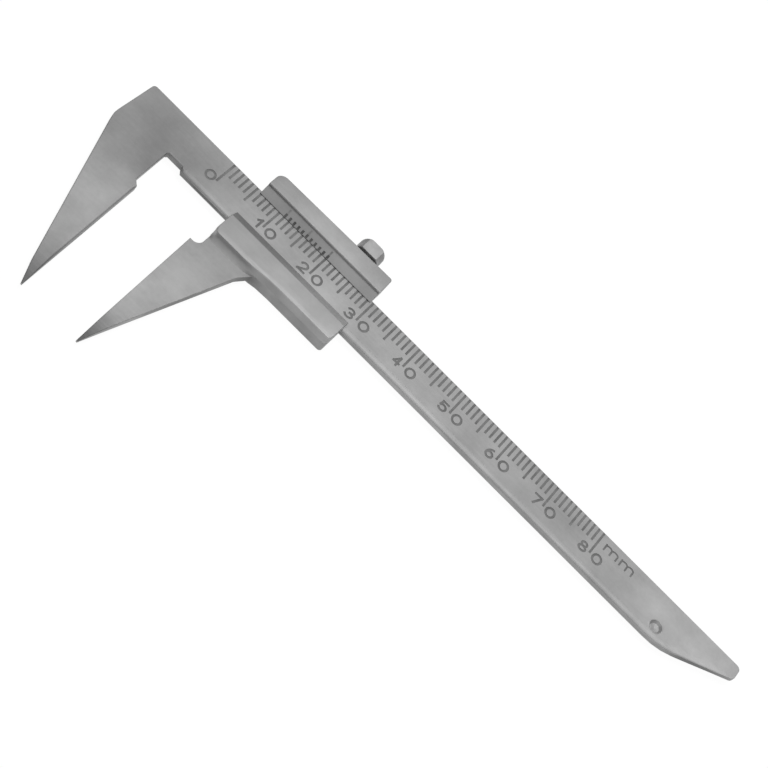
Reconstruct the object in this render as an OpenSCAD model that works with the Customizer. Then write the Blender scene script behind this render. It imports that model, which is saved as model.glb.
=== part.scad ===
// Sliding dental caliper with pointed jaws, in millimetres.
// X runs along the beam towards its tail, Y across the beam towards the graduated edge and Z out of
// the front face. The origin is on the beam's back face, under the scale's zero and at mid width.

/* [Beam] */
// Width of the beam
beam_w = 8.3; // [7:0.1:11]
// Thickness of the beam and of the fixed jaw
beam_t = 1.3; // [1.1:0.05:2.2]
// Length of the graduated scale
scale_len = 80; // [60:10:120]
// Length of the plain tail past the last graduation
tail_len = 29.3; // [24:0.1:36]
// Length of the slanted part of the tail's lower edge
tail_slant_len = 12.9; // [9:0.1:16]
// Width of the tail's blunt end
tail_end_w = 2.9; // [2.2:0.1:4]
// Radius of the bend in the tail's lower edge
tail_bend_r = 12; // [4:0.5:16]
// Radius of the two corners at the tail's end
tail_corner_r = 0.8; // [0.3:0.1:1]
// Thickness of the tail's end, thinned from behind
tail_end_t = 0.6; // [0.4:0.05:1]

/* [Jaws] */
// Distance from the fixed measuring face to the scale's zero
zero_offset = 6.85; // [6:0.05:9]
// Reach of both jaws below the beam
jaw_reach = 35.2; // [25:0.1:45]
// Distance from the beam's lower edge to the jaws' shoulders
shoulder_drop = 8.4; // [7.5:0.1:10]
// Lean of both measuring faces from square to the beam, in degrees
jaw_lean = 1.5; // [0:0.1:2.5]
// Width of the jaws' points
tip_w = 0.3; // [0.2:0.05:0.6]
// Thickness of the jaws' points
tip_t = 0.45; // [0.3:0.05:0.8]
// Length of the facet that thins each point
tip_facet_len = 5; // [3:0.1:8]
// Width of the fixed jaw across the beam's end
fixed_root_w = 11; // [10:0.1:14]
// Distance from the beam's lower edge down to the fixed jaw's outer corner
fixed_corner_drop = 0.9; // [0.4:0.1:2]
// Slant of the beam's end edge
fixed_end_slant = 0.5; // [0:0.05:1.2]
// Radius of the beam's upper end corner
fixed_top_r = 0.6; // [0.3:0.1:1.2]
// Radius of the fixed jaw's outer corner
fixed_corner_r = 4; // [1:0.5:6]
// Width of the relief between the beam and the fixed measuring face
relief_w = 0.9; // [0.5:0.05:1.4]
// Depth of the relief in the beam's lower edge
relief_depth = 0.45; // [0.2:0.05:0.7]
// Length of the relief along the beam's lower edge
relief_len = 3.6; // [2.5:0.1:4.5]
// Width of the moving jaw at its root
moving_root_w = 9.95; // [8.5:0.05:12]
// Radius of the fillet at the moving jaw's root
moving_root_r = 2.9; // [1:0.1:3.5]
// Radius of the notch behind the moving jaw's shoulder
notch_r = 1.3; // [0.6:0.1:1.4]
// Undercut of the notch, both behind the slider's end and below the shoulder
notch_undercut = 0.25; // [0:0.05:0.4]

/* [Slider] */
// Reading that the caliper is set to
reading = 11; // [8:0.1:40]
// Length of the slider along the beam
slider_len = 23.7; // [21:0.1:32]
// Distance from the moving measuring face back to the slider's end
jaw_lead = 1.6; // [1.5:0.1:2.4]
// Width of the upper rail beyond the beam's edge
upper_rail_w = 4.2; // [3.8:0.1:6]
// Width of the lower rail beyond the beam's edge, past the moving jaw
lower_rail_w = 4.6; // [4:0.1:6]
// Step by which the lower rail is wider along the moving jaw's root
lower_step = 0.55; // [0.2:0.05:0.8]
// Length over which that step runs out
step_run = 2.4; // [1:0.2:4]
// Height of both rails above the moving jaw's face
rail_h = 1.8; // [1.5:0.05:2.4]
// Thickness of the back plate
back_plate_t = 0.75; // [0.5:0.05:1]
// Reach of the vernier lip over the beam's graduated edge
vernier_lip = 0.35; // [0.2:0.05:0.6]
// Width of the vernier bevel
vernier_bevel_w = 1.05; // [0.9:0.05:1.8]
// Reach of the lower lip over the beam's lower edge
lower_lip = 1.65; // [0.8:0.05:2]
// Width of the lower lip's slope
lower_bevel_w = 2.45; // [1.2:0.05:2.8]
// Thickness of both lips at their edge
lip_edge_t = 0.12; // [0.08:0.02:0.3]
// Radius of the upper rail's leading corner
lead_corner_r = 1.7; // [0.5:0.1:2.2]
// Radius of the slider's other corners
end_corner_r = 0.5; // [0.2:0.1:1]
// Running clearance round the beam
slide_clear = 0.04; // [0.02:0.01:0.08]

/* [Rivets and pin] */
// Diameter of the rivets
rivet_d = 1.2; // [0.8:0.1:1.4]
// Distance from the slider's ends to the outer rivets
rivet_end = 2.6; // [1.8:0.1:3]
// Distance from the rails' outer edges to the rivets
rivet_edge = 1.9; // [1.5:0.1:2.1]
// Cover of metal left over the rivets' blind ends
rivet_cover = 0.7; // [0.4:0.05:0.9]
// Diameter of the stop pin
pin_d = 2.5; // [1.8:0.1:3]
// Distance from the tail's bend back to the stop pin
pin_from_bend = 1.4; // [1.4:0.1:4]
// Distance from the beam's lower edge up to the stop pin
pin_from_edge = 2.2; // [1.8:0.05:4]
// Depth of the pin's front end below the beam's face
pin_sink = 0.15; // [0.05:0.05:0.3]
// Gap between the pin's back end and the plane of the back plate's outer face
pin_back_gap = 0.1; // [0.05:0.05:0.2]

/* [Clamp] */
// Distance from the slider's tail end to the clamp screw
screw_from_end = 5.45; // [5.2:0.05:8]
// Diameter of the clamp screw's shank
screw_d = 2; // [1.6:0.1:2.2]
// Diameter of the clamp screw's point
screw_point_d = 1.4; // [1:0.1:1.5]
// Length of the clamp screw's point
screw_point_len = 0.6; // [0.3:0.1:1]
// Diameter of the clamp screw's head
head_d = 4.7; // [3.5:0.1:6]
// Height of the clamp screw's head
head_h = 2.6; // [1.8:0.1:3.5]
// Gap left under the clamp screw's head when the pad meets the beam
head_gap = 0.1; // [0.05:0.01:0.4]
// Radius of the edge of the clamp screw's head
head_edge_r = 0.6; // [0.2:0.05:0.9]
// Width of the screwdriver slot
slot_w = 0.6; // [0.4:0.1:0.8]
// Depth of the screwdriver slot
slot_depth = 0.8; // [0.4:0.1:1]
// Radial clearance of the screw in its hole
screw_clear = 0.04; // [0.02:0.01:0.08]
// Length of the clamp pad
pad_len = 8; // [5:0.5:8.5]
// Thickness of the clamp pad
pad_t = 0.7; // [0.5:0.05:1]
// Gap between the loosened pad and the beam
pad_gap = 0.21; // [0.1:0.01:0.4]
// Room round the pad in its pocket
pad_room = 0.05; // [0.03:0.01:0.1]

/* [Graduations] */
// Width of the engraved lines
line_w = 0.16; // [0.1:0.02:0.24]
// Depth of the engraved lines
line_depth = 0.06; // [0.03:0.01:0.1]
// Length of the lines at each millimetre
line_short = 2.9; // [2:0.1:3.2]
// Length of the lines at each fifth millimetre
line_mid = 3.9; // [3.3:0.1:4.4]
// Length of the lines at each tenth millimetre
line_long = 5.05; // [4.5:0.05:6]
// Divisions of the vernier
vernier_div = 10; // [5:5:10]
// Length of the vernier's short lines, up its bevel
vernier_short = 0.65; // [0.4:0.05:0.9]
// Length of the vernier's long lines, up its bevel
vernier_long = 1.45; // [1:0.05:1.6]

/* [Hidden] */
$fn = 64;
// Straight steps in each rounded corner of an outline
arc_steps = 8;
// Overshoot of a cutting shape past the face that it opens
cut = 1;
millimetre = 1;
steel = [0.66, 0.66, 0.67];
rail_steel = [0.72, 0.72, 0.73];
screw_steel = [0.62, 0.62, 0.63];
pad_brass = [0.78, 0.62, 0.32];

half_w = beam_w / 2;
tail_x = scale_len + tail_len;
bend_x = tail_x - tail_slant_len;
fixed_face_x = -zero_offset;
end_x = fixed_face_x - fixed_root_w + fixed_end_slant;
shoulder_y = -half_w - shoulder_drop;
tip_y = -half_w - jaw_reach;
facet_y = tip_y + tip_facet_len;

moving_face_x = fixed_face_x + reading;
slider_x = moving_face_x + jaw_lead;
slider_end = slider_x + slider_len;
slider_top = half_w + upper_rail_w;
slider_bottom = -half_w - lower_rail_w;
step_bottom = slider_bottom - lower_step;
step_x = moving_face_x + moving_root_w;
channel_z = -slide_clear;
jaw_face_z = beam_t + slide_clear;
rail_top_z = jaw_face_z + rail_h;
back_z = channel_z - back_plate_t;

rivet_x = [slider_x + rivet_end, (slider_x + slider_end) / 2, slider_end - rivet_end];
rivet_y = [slider_top - rivet_edge, slider_bottom + rivet_edge];
rivet_top_z = rail_top_z - rivet_cover;
pin_x = bend_x - pin_from_bend;
pin_y = -half_w + pin_from_edge;
pin_back_z = back_z + pin_back_gap;

screw_x = slider_end - screw_from_end;
screw_z = (channel_z + rail_top_z) / 2;
head_y = slider_top + pad_gap + head_gap;
pad_y = half_w + pad_gap;
pad_back_y = pad_y + pad_t;
pocket_y = pad_back_y + pad_room;
shank_y = pad_back_y + screw_point_len;
pad_h = beam_t - 2 * pad_room;

function unit(v) = v / norm(v);

// Shift of a leaning measuring face at height y below the shoulder
function lean_shift(y) = (shoulder_y - y) * tan(jaw_lean);

// Points of the arc of radius r that rounds corner c between its neighbours p and n
function corner_arc(p, c, n, r) =
    let (
        a = unit(p - c),
        b = unit(n - c),
        half_angle = acos(a * b) / 2,
        centre = c + unit(a + b) * r / sin(half_angle),
        first = c + a * r / tan(half_angle) - centre,
        last = c + b * r / tan(half_angle) - centre,
        from = atan2(first.y, first.x),
        turn = (atan2(last.y, last.x) - from + 540) % 360 - 180
    )
    [for (i = [0 : arc_steps])
        let (angle = from + turn * i / arc_steps)
        centre + r * [cos(angle), sin(angle)]];

// Outline through corners given as [x, y, radius]
function rounded(corners) =
    let (count = len(corners), flat = [for (c = corners) [c.x, c.y]])
    [for (i = [0 : count - 1])
        each corners[i].z > 0
            ? corner_arc(flat[(i + count - 1) % count], flat[i], flat[(i + 1) % count], corners[i].z)
            : [flat[i]]];

// Prism along X from x0 to x1 over an outline of [y, z] points
module along_x(x0, x1, outline) {
    translate([x0, 0, 0])
        rotate([90, 0, 90])
            linear_extrude(x1 - x0)
                polygon(outline);
}

// Wedge that thins a jaw from its full thickness at the facet's start to tip_t at the point
module tip_wedge(x0, x1, face_z) {
    slope = (face_z - tip_t) / tip_facet_len;
    along_x(x0, x1, [
        [facet_y, face_z],
        [facet_y + cut, face_z + cut * slope],
        [facet_y + cut, face_z + cut],
        [tip_y - cut, face_z + cut],
        [tip_y - cut, tip_t - cut * slope]
    ]);
}

// Wedge that thins the tail from behind, from the bend to the tail's end
module tail_wedge() {
    slope = (beam_t - tail_end_t) / tail_slant_len;
    translate([0, half_w + cut, 0])
        rotate([90, 0, 0])
            linear_extrude(beam_w + 2 * cut)
                polygon([
                    [bend_x, 0],
                    [tail_x + cut, (tail_slant_len + cut) * slope],
                    [tail_x + cut, -cut],
                    [bend_x, -cut]
                ]);
}

// Outline of the beam with its fixed jaw
module beam_outline() {
    relief_x = fixed_face_x - relief_w;
    relief_y = -half_w + relief_depth;
    relief_end = relief_x + lean_shift(relief_y) + relief_len;
    polygon(rounded([
        [tail_x, half_w, tail_corner_r],
        [end_x, half_w, fixed_top_r],
        [end_x - fixed_end_slant, -half_w - fixed_corner_drop, fixed_corner_r],
        [fixed_face_x + lean_shift(tip_y) - tip_w, tip_y, 0],
        [fixed_face_x + lean_shift(tip_y), tip_y, 0],
        [fixed_face_x, shoulder_y, 0],
        [relief_x + lean_shift(shoulder_y + relief_w), shoulder_y + relief_w, 0],
        [relief_x + lean_shift(relief_y), relief_y, relief_depth],
        [relief_end - relief_depth, relief_y, 0],
        [relief_end, -half_w, 0],
        [bend_x, -half_w, tail_bend_r],
        [tail_x, half_w - tail_end_w, tail_corner_r]
    ]));
}

// Engraved lines of the millimetre scale, cut from the graduated edge
module scale_lines() {
    for (i = [0 : scale_len]) {
        length = i % 10 == 0 ? line_long : i % 5 == 0 ? line_mid : line_short;
        translate([i * millimetre - line_w / 2, half_w - length, beam_t - line_depth])
            cube([line_w, length + cut, line_depth + cut]);
    }
}

// Graduated beam and fixed jaw, one plate
module beam() {
    color(steel)
        difference() {
            linear_extrude(beam_t)
                beam_outline();
            tip_wedge(end_x, 0, beam_t);
            tail_wedge();
            scale_lines();
            translate([pin_x, pin_y, -cut])
                cylinder(d = pin_d, h = beam_t + 2 * cut);
        }
}

// Stop pin, pressed through the beam from behind
module stop_pin() {
    color(screw_steel)
        translate([pin_x, pin_y, pin_back_z])
            cylinder(d = pin_d, h = beam_t - pin_sink - pin_back_z);
}

// Outline of the slider seen from the front
module slider_outline() {
    polygon(rounded([
        [slider_x, slider_top, lead_corner_r],
        [slider_x, step_bottom, 0],
        [step_x - step_run / 2, step_bottom, 0],
        [step_x + step_run / 2, slider_bottom, 0],
        [slider_end, slider_bottom, end_corner_r],
        [slider_end, slider_top, end_corner_r]
    ]));
}

// Rivets of the slider: both rails have one at each end and one in the middle
module rivets() {
    for (x = rivet_x, y = rivet_y)
        translate([x, y, back_z])
            cylinder(d = rivet_d, h = rivet_top_z - back_z);
}

// Plate that closes the slider's channel behind the beam
module back_plate() {
    color(steel)
        difference() {
            translate([0, 0, back_z])
                linear_extrude(back_plate_t)
                    slider_outline();
            rivets();
        }
}

// Moving jaw with the guide for the beam's lower edge
module moving_jaw() {
    tip_x = moving_face_x + lean_shift(tip_y);
    guide_y = -half_w - slide_clear;
    color(steel)
        difference() {
            translate([0, 0, channel_z])
                linear_extrude(jaw_face_z - channel_z)
                    polygon(rounded([
                        [slider_x, guide_y, 0],
                        [slider_x + notch_undercut, shoulder_y - notch_undercut, notch_r],
                        [moving_face_x, shoulder_y, 0],
                        [tip_x, tip_y, 0],
                        [tip_x + tip_w, tip_y, 0],
                        [step_x, slider_bottom, moving_root_r],
                        [slider_end, slider_bottom, end_corner_r],
                        [slider_end, guide_y, 0]
                    ]));
            tip_wedge(moving_face_x, slider_end, jaw_face_z);
            rivets();
        }
}

// Bar in front of the moving jaw, with its sloped lip over the beam
module lower_rail() {
    lip_y = -half_w + lower_lip;
    color(rail_steel)
        difference() {
            intersection() {
                along_x(slider_x, slider_end, [
                    [step_bottom, jaw_face_z],
                    [step_bottom, rail_top_z],
                    [lip_y - lower_bevel_w, rail_top_z],
                    [lip_y, jaw_face_z + lip_edge_t],
                    [lip_y, jaw_face_z]
                ]);
                translate([0, 0, jaw_face_z])
                    linear_extrude(rail_h)
                        slider_outline();
            }
            rivets();
        }
}

// Engraved lines of the vernier, cut up the bevel from its edge
module vernier_lines(lip_y, bevel_angle) {
    pitch = (vernier_div - 1) / vernier_div * millimetre;
    for (i = [0 : vernier_div]) {
        length = i % 5 == 0 ? vernier_long : vernier_short;
        translate([moving_face_x + zero_offset + i * pitch, lip_y, jaw_face_z + lip_edge_t])
            rotate([bevel_angle, 0, 0])
                translate([-line_w / 2, 0, -line_depth])
                    cube([line_w, length, line_depth + cut]);
    }
}

// Solid bar above the beam: bevelled vernier, pocket of the clamp pad and hole of the clamp screw
module vernier_rail() {
    lip_y = half_w - vernier_lip;
    guide_y = half_w + slide_clear;
    bevel_angle = atan2(rail_h - lip_edge_t, vernier_bevel_w);
    pocket_len = pad_len + 2 * pad_room;
    advance = pad_gap + pad_room;
    color(rail_steel)
        difference() {
            intersection() {
                along_x(slider_x, slider_end, [
                    [slider_top, channel_z],
                    [slider_top, rail_top_z],
                    [lip_y + vernier_bevel_w, rail_top_z],
                    [lip_y, jaw_face_z + lip_edge_t],
                    [lip_y, jaw_face_z],
                    [guide_y, jaw_face_z],
                    [guide_y, channel_z]
                ]);
                translate([0, 0, channel_z])
                    linear_extrude(rail_top_z - channel_z)
                        slider_outline();
            }
            vernier_lines(lip_y, bevel_angle);
            translate([screw_x - pocket_len / 2, half_w, channel_z - cut])
                cube([pocket_len, pocket_y - half_w, beam_t - channel_z + cut]);
            translate([screw_x, pad_back_y - advance, screw_z])
                rotate([-90, 0, 0])
                    cylinder(r = screw_point_d / 2 + screw_clear, h = screw_point_len + advance);
            translate([screw_x, shank_y - advance, screw_z])
                rotate([-90, 0, 0])
                    cylinder(r = screw_d / 2 + screw_clear, h = slider_top - shank_y + advance + cut);
            rivets();
        }
}

// Flush rivets that hold the slider's stack together
module rail_rivets() {
    color(steel)
        rivets();
}

// Brass pad between the clamp screw and the beam's graduated edge
module clamp_pad() {
    color(pad_brass)
        translate([screw_x - pad_len / 2, pad_y, pad_room])
            cube([pad_len, pad_t, pad_h]);
}

// Cheese-head clamp screw with its slot and reduced point
module clamp_screw() {
    shank_len = head_y - shank_y;
    color(screw_steel)
        translate([screw_x, pad_back_y, screw_z])
            rotate([-90, 0, 0])
                difference() {
                    union() {
                        cylinder(d = screw_point_d, h = screw_point_len + shank_len);
                        translate([0, 0, screw_point_len])
                            cylinder(d = screw_d, h = shank_len + head_h / 2);
                        translate([0, 0, screw_point_len + shank_len])
                            rotate_extrude()
                                polygon(rounded([
                                    [0, 0, 0],
                                    [head_d / 2, 0, 0],
                                    [head_d / 2, head_h, head_edge_r],
                                    [0, head_h, 0]
                                ]));
                    }
                    translate([-head_d, -slot_w / 2, screw_point_len + shank_len + head_h - slot_depth])
                        cube([2 * head_d, slot_w, slot_depth + cut]);
                }
}

beam();
stop_pin();
back_plate();
moving_jaw();
lower_rail();
vernier_rail();
rail_rivets();
clamp_pad();
clamp_screw();
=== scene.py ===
"""Looks of a sliding dental caliper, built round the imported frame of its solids.

Sizes are in millimetres in the part's own frame: X runs along the beam towards its tail, Y across
the beam towards the graduated edge and Z out of the front face. Meshes are written in metres.
"""

import logging
import math
from dataclasses import dataclass, field
from enum import Enum
from typing import Callable, NamedTuple, Sequence

import bpy
import numpy as np
from mathutils import Matrix, Vector
from mathutils.geometry import delaunay_2d_cdt


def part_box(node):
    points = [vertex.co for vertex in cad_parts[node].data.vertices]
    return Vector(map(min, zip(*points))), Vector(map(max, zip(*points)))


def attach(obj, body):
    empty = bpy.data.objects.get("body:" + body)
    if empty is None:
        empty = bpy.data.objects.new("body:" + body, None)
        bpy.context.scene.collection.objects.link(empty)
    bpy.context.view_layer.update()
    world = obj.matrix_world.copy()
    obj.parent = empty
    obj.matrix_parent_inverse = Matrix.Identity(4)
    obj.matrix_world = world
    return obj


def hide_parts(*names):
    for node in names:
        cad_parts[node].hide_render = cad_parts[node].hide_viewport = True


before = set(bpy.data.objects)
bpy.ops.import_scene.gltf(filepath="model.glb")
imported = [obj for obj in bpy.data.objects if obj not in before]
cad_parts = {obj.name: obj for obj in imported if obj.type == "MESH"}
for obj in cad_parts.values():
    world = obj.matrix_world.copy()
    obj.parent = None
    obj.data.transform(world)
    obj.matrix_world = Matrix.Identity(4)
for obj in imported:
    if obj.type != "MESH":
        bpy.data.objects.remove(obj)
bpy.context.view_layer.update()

LOG = logging.getLogger("caliper")
Array = np.ndarray
Warp = Callable[[Array], Array]
Place = Callable[[Array, float], Array]
Finishes = Sequence[bpy.types.Material]

# Metres in a millimetre
MM = 0.001
# Points closer than this are one point, in millimetres
WELD = 1e-4
# Crease angle above which two faces meet in a sharp edge
SHARP = math.radians(32)
# Degrees between two points of an arc, and of a turned solid's circle
ARC_STEP = 12
TURN_STEP = 5
# Longest step along the straight edges of a plate that is bent later
PLATE_STEP = 0.6
# Steps in the quarter round of an edge
EDGE_STEPS = 5
# Flat band beside a quarter round, which keeps the face next to it shaded flat, and its least width
EDGE_BAND = 0.05
LEAST_BAND = 0.002
# Number that marks a strip of a wall as left open
OPEN = -1
# Mode in which a triangulation keeps only what lies inside its loops
INSIDE = 1
# Numbers of the sockets by which a Mix node takes and gives colours, because their names repeat
MIX_SHARE, MIX_FIRST, MIX_SECOND, MIX_RESULT = 0, 6, 7, 2
# No further points inside a face
NO_POINTS = np.zeros((0, 2))


class Axes(Enum):
    """Which of a solid's own coordinates (across, up, along) become X, Y and Z."""

    PLATE = (0, 1, 2)
    BAR = (2, 0, 1)
    CROSS = (1, 2, 0)


class Rub(Enum):
    """Direction of the abrasive marks on a metal face, as the long axis of the streaks."""

    ALONG_X = (1, 0, 0)
    ALONG_Z = (0, 0, 1)


class Finish(Enum):
    """Place of a finish in a piece's list of materials."""

    FACE = 0
    EDGE = 1
    INK = 2
    FACET = 3
    WORN = 4


class Strip(NamedTuple):
    """Part of a prism's wall: one side of its outline, from one station to another.

    Number -1 and the one after the last station stand for the ends of the two rounded edges.
    """

    side: int
    first: int
    last: int


def linear(hex_colour: str) -> tuple[float, float, float, float]:
    """Linear colour of an sRGB hex value: the power 2.4 above 0.04045, a straight line below.

    Args:
        hex_colour: The colour, as #RRGGBB.

    Returns:
        Red, green, blue and full alpha.
    """
    values = np.array([int(hex_colour[i : i + 2], 16) / 255 for i in (1, 3, 5)])
    curve = np.where(values > 0.04045, ((values + 0.055) / 1.055) ** 2.4, values / 12.92)
    return (*curve.tolist(), 1.0)


def add_node(
    tree: bpy.types.NodeTree, kind: str, inputs: dict | None = None, **settings: object
) -> bpy.types.Node:
    """Adds one node to a tree.

    Args:
        tree: Node tree of a material or world.
        kind: Blender's name of the node.
        inputs: Values for its sockets, by name or number. A socket is linked, and a node by its first output.
        settings: Properties of the node itself.

    Returns:
        The new node.
    """
    node = tree.nodes.new(kind)
    for name, value in settings.items():
        setattr(node, name, value)
    for name, value in (inputs or {}).items():
        source = value.outputs[0] if isinstance(value, bpy.types.Node) else value
        if isinstance(source, bpy.types.NodeSocket):
            tree.links.new(source, node.inputs[name])
        else:
            node.inputs[name].default_value = source
    return node


def ramp(values: Array, start: float, run: float) -> Array:
    """Share of the way that values have gone from start over run, from 0 to 1."""
    return np.clip((values - start) / run, 0, 1)


def smooth(share: Array) -> Array:
    """Smooth cubic s s (3 - 2 s) of a share s from 0 to 1."""
    return share * share * (3 - 2 * share)


def arc(cx: float, cy: float, rx: float, ry: float, start: float, end: float) -> Array:
    """Points (cx + rx cos a, cy + ry sin a) of an elliptic arc.

    Args:
        cx: First coordinate of the centre.
        cy: Second coordinate of the centre.
        rx: Half axis along the first coordinate.
        ry: Half axis along the second coordinate.
        start: First angle a, in degrees.
        end: Last angle a, in degrees.

    Returns:
        (N, 2) points, at most ARC_STEP degrees apart.
    """
    count = math.ceil(abs(end - start) / ARC_STEP) + 1
    angle = np.radians(np.linspace(start, end, count))
    return np.column_stack([cx + rx * np.cos(angle), cy + ry * np.sin(angle)])


def line(*points: tuple[float, float]) -> Array:
    """Points of a straight or bent line."""
    return np.array(points, float)


def circle(cx: float, cy: float, radius: float) -> Array:
    """Closed ring of points on a circle, counter-clockwise, with the last point left off."""
    return arc(cx, cy, radius, radius, 0, 360)[:-1]


def box(x0: float, y0: float, x1: float, y1: float) -> Array:
    """Closed rectangle, counter-clockwise."""
    return line((x0, y0), (x1, y0), (x1, y1), (x0, y1))


def unit(vectors: Array) -> Array:
    """Vectors scaled to length one along the last axis."""
    return vectors / np.linalg.norm(vectors, axis=-1, keepdims=True)


def left_of(vectors: Array) -> Array:
    """Vectors turned a quarter turn to their left."""
    return np.stack([-vectors[..., 1], vectors[..., 0]], axis=-1)


def mitre(before: Array, after: Array) -> Array:
    """Offset of a corner for one unit to the left: the sum of both normals over 1 + their dot product."""
    return (before + after) / (1 + np.sum(before * after, axis=-1, keepdims=True))


def ring_inset(ring: Array) -> Array:
    """Inward offset of each point of a counter-clockwise ring for an inset of one unit."""
    normal = left_of(unit(np.roll(ring, -1, axis=0) - ring))
    return mitre(np.roll(normal, 1, axis=0), normal)


def ring_quads(count: int, size: int) -> Array:
    """Numbers of the corners of the quads between closed rings, which follow each other upwards.

    Args:
        count: Number of rings.
        size: Points in each ring.

    Returns:
        (count - 1, size, 4) numbers. The quads face outwards where the rings turn left.
    """
    number = np.arange(count * size).reshape(count, size)
    turned = np.roll(number, -1, axis=1)
    return np.stack([number[:-1], turned[:-1], turned[1:], number[1:]], axis=-1)


def band(path: Array, width: float) -> Array:
    """Closed shape of one width along an open path.

    The path runs on by half the width at both ends. Its right offset is followed forwards and its
    left offset back, so the shape is counter-clockwise.

    Args:
        path: (N, 2) points of the centre line.
        width: Width of the band.

    Returns:
        (2 N, 2) points of the shape.
    """
    along = unit(np.diff(path, axis=0))
    path = path + np.vstack([-along[:1], np.zeros((len(path) - 2, 2)), along[-1:]]) * width / 2
    normal = left_of(along)
    offset = mitre(np.vstack([normal[:1], normal]), np.vstack([normal, normal[-1:]])) * width / 2
    return np.vstack([path - offset, (path + offset)[::-1]])


@dataclass(frozen=True)
class Outline:
    """Closed outline, counter-clockwise, whose corners are rounded by arcs.

    Each point on an arc also has the sharp corner that the arc cuts off, that corner's inward offset
    for one unit, and the radius. Other points have an endless radius.
    """

    points: Array
    ends: Array
    corners: Array
    offsets: Array
    radii: Array

    def inset(self, amount: Array) -> Array:
        """Points moved inwards, where an arc shrinks about its centre until it is a sharp corner.

        Args:
            amount: (R, N) insets, one row for each ring.

        Returns:
            (R, N, 2) rings.
        """
        moved = self.points + amount[..., None] * ring_inset(self.points)
        sharp = self.corners + amount[..., None] * self.offsets
        return np.where((amount < self.radii)[..., None], moved, sharp)

    def side_after(self, corner: int) -> int:
        """Number of the side that follows a corner."""
        return int(self.ends[corner][1])


def rounded(corners: Sequence[tuple[float, float, float]], spacing: float = 0.0) -> Outline:
    """Outline through corners, each rounded by an arc that is tangent to both of its edges.

    Args:
        corners: (x, y, radius) of each corner, counter-clockwise.
        spacing: Longest step along the straight stretches, or 0 to leave them whole.

    Returns:
        The outline, with the numbers of each corner's first and last point in ends.
    """
    flat = np.array([corner[:2] for corner in corners], float)
    to_last, to_next = unit(np.roll(flat, 1, axis=0) - flat), unit(np.roll(flat, -1, axis=0) - flat)
    sharp_offset = ring_inset(flat)
    bends = []
    for c, a, b, (*_, radius) in zip(flat, to_last, to_next, corners):
        half = math.acos(np.clip(a @ b, -1, 1)) / 2
        if radius == 0:
            bends.append(c[None])
            continue
        centre = c + unit(a + b) * radius / math.sin(half)
        first, last = (c + v * radius / math.tan(half) - centre for v in (a, b))
        start, end = (math.degrees(math.atan2(v[1], v[0])) for v in (first, last))
        # The turn is the shorter way round, so it lies within half a turn
        turn = (end - start + 540) % 360 - 180
        bends.append(arc(*centre, radius, radius, start, start + turn))
    points, ends, owners, radii = [], [], [], []
    for i, (bend, following) in enumerate(zip(bends, bends[1:] + bends[:1])):
        gap = following[0] - bend[-1]
        steps = math.ceil(np.linalg.norm(gap) / spacing) if spacing else 1
        ends.append((len(owners), len(owners) + len(bend) - 1))
        points += [bend, bend[-1] + np.arange(1, steps)[:, None] / steps * gap]
        owners += [i] * (len(bend) + steps - 1)
        outward = left_of(to_last[i]) @ to_next[i] < 0
        radii += [corners[i][2] if outward else math.inf] * len(bend) + [math.inf] * (steps - 1)
    ring = np.vstack(points)
    return Outline(ring, np.array(ends), flat[owners], sharp_offset[owners], np.array(radii))


def corner_fall(distance: Array, radius: float) -> Array:
    """Fall of a rounded corner at a distance d from its end: r - sqrt(r r - (r - d) (r - d))."""
    left = np.clip(radius - distance, 0, radius)
    return radius - np.sqrt(radius * radius - left * left)


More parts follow.
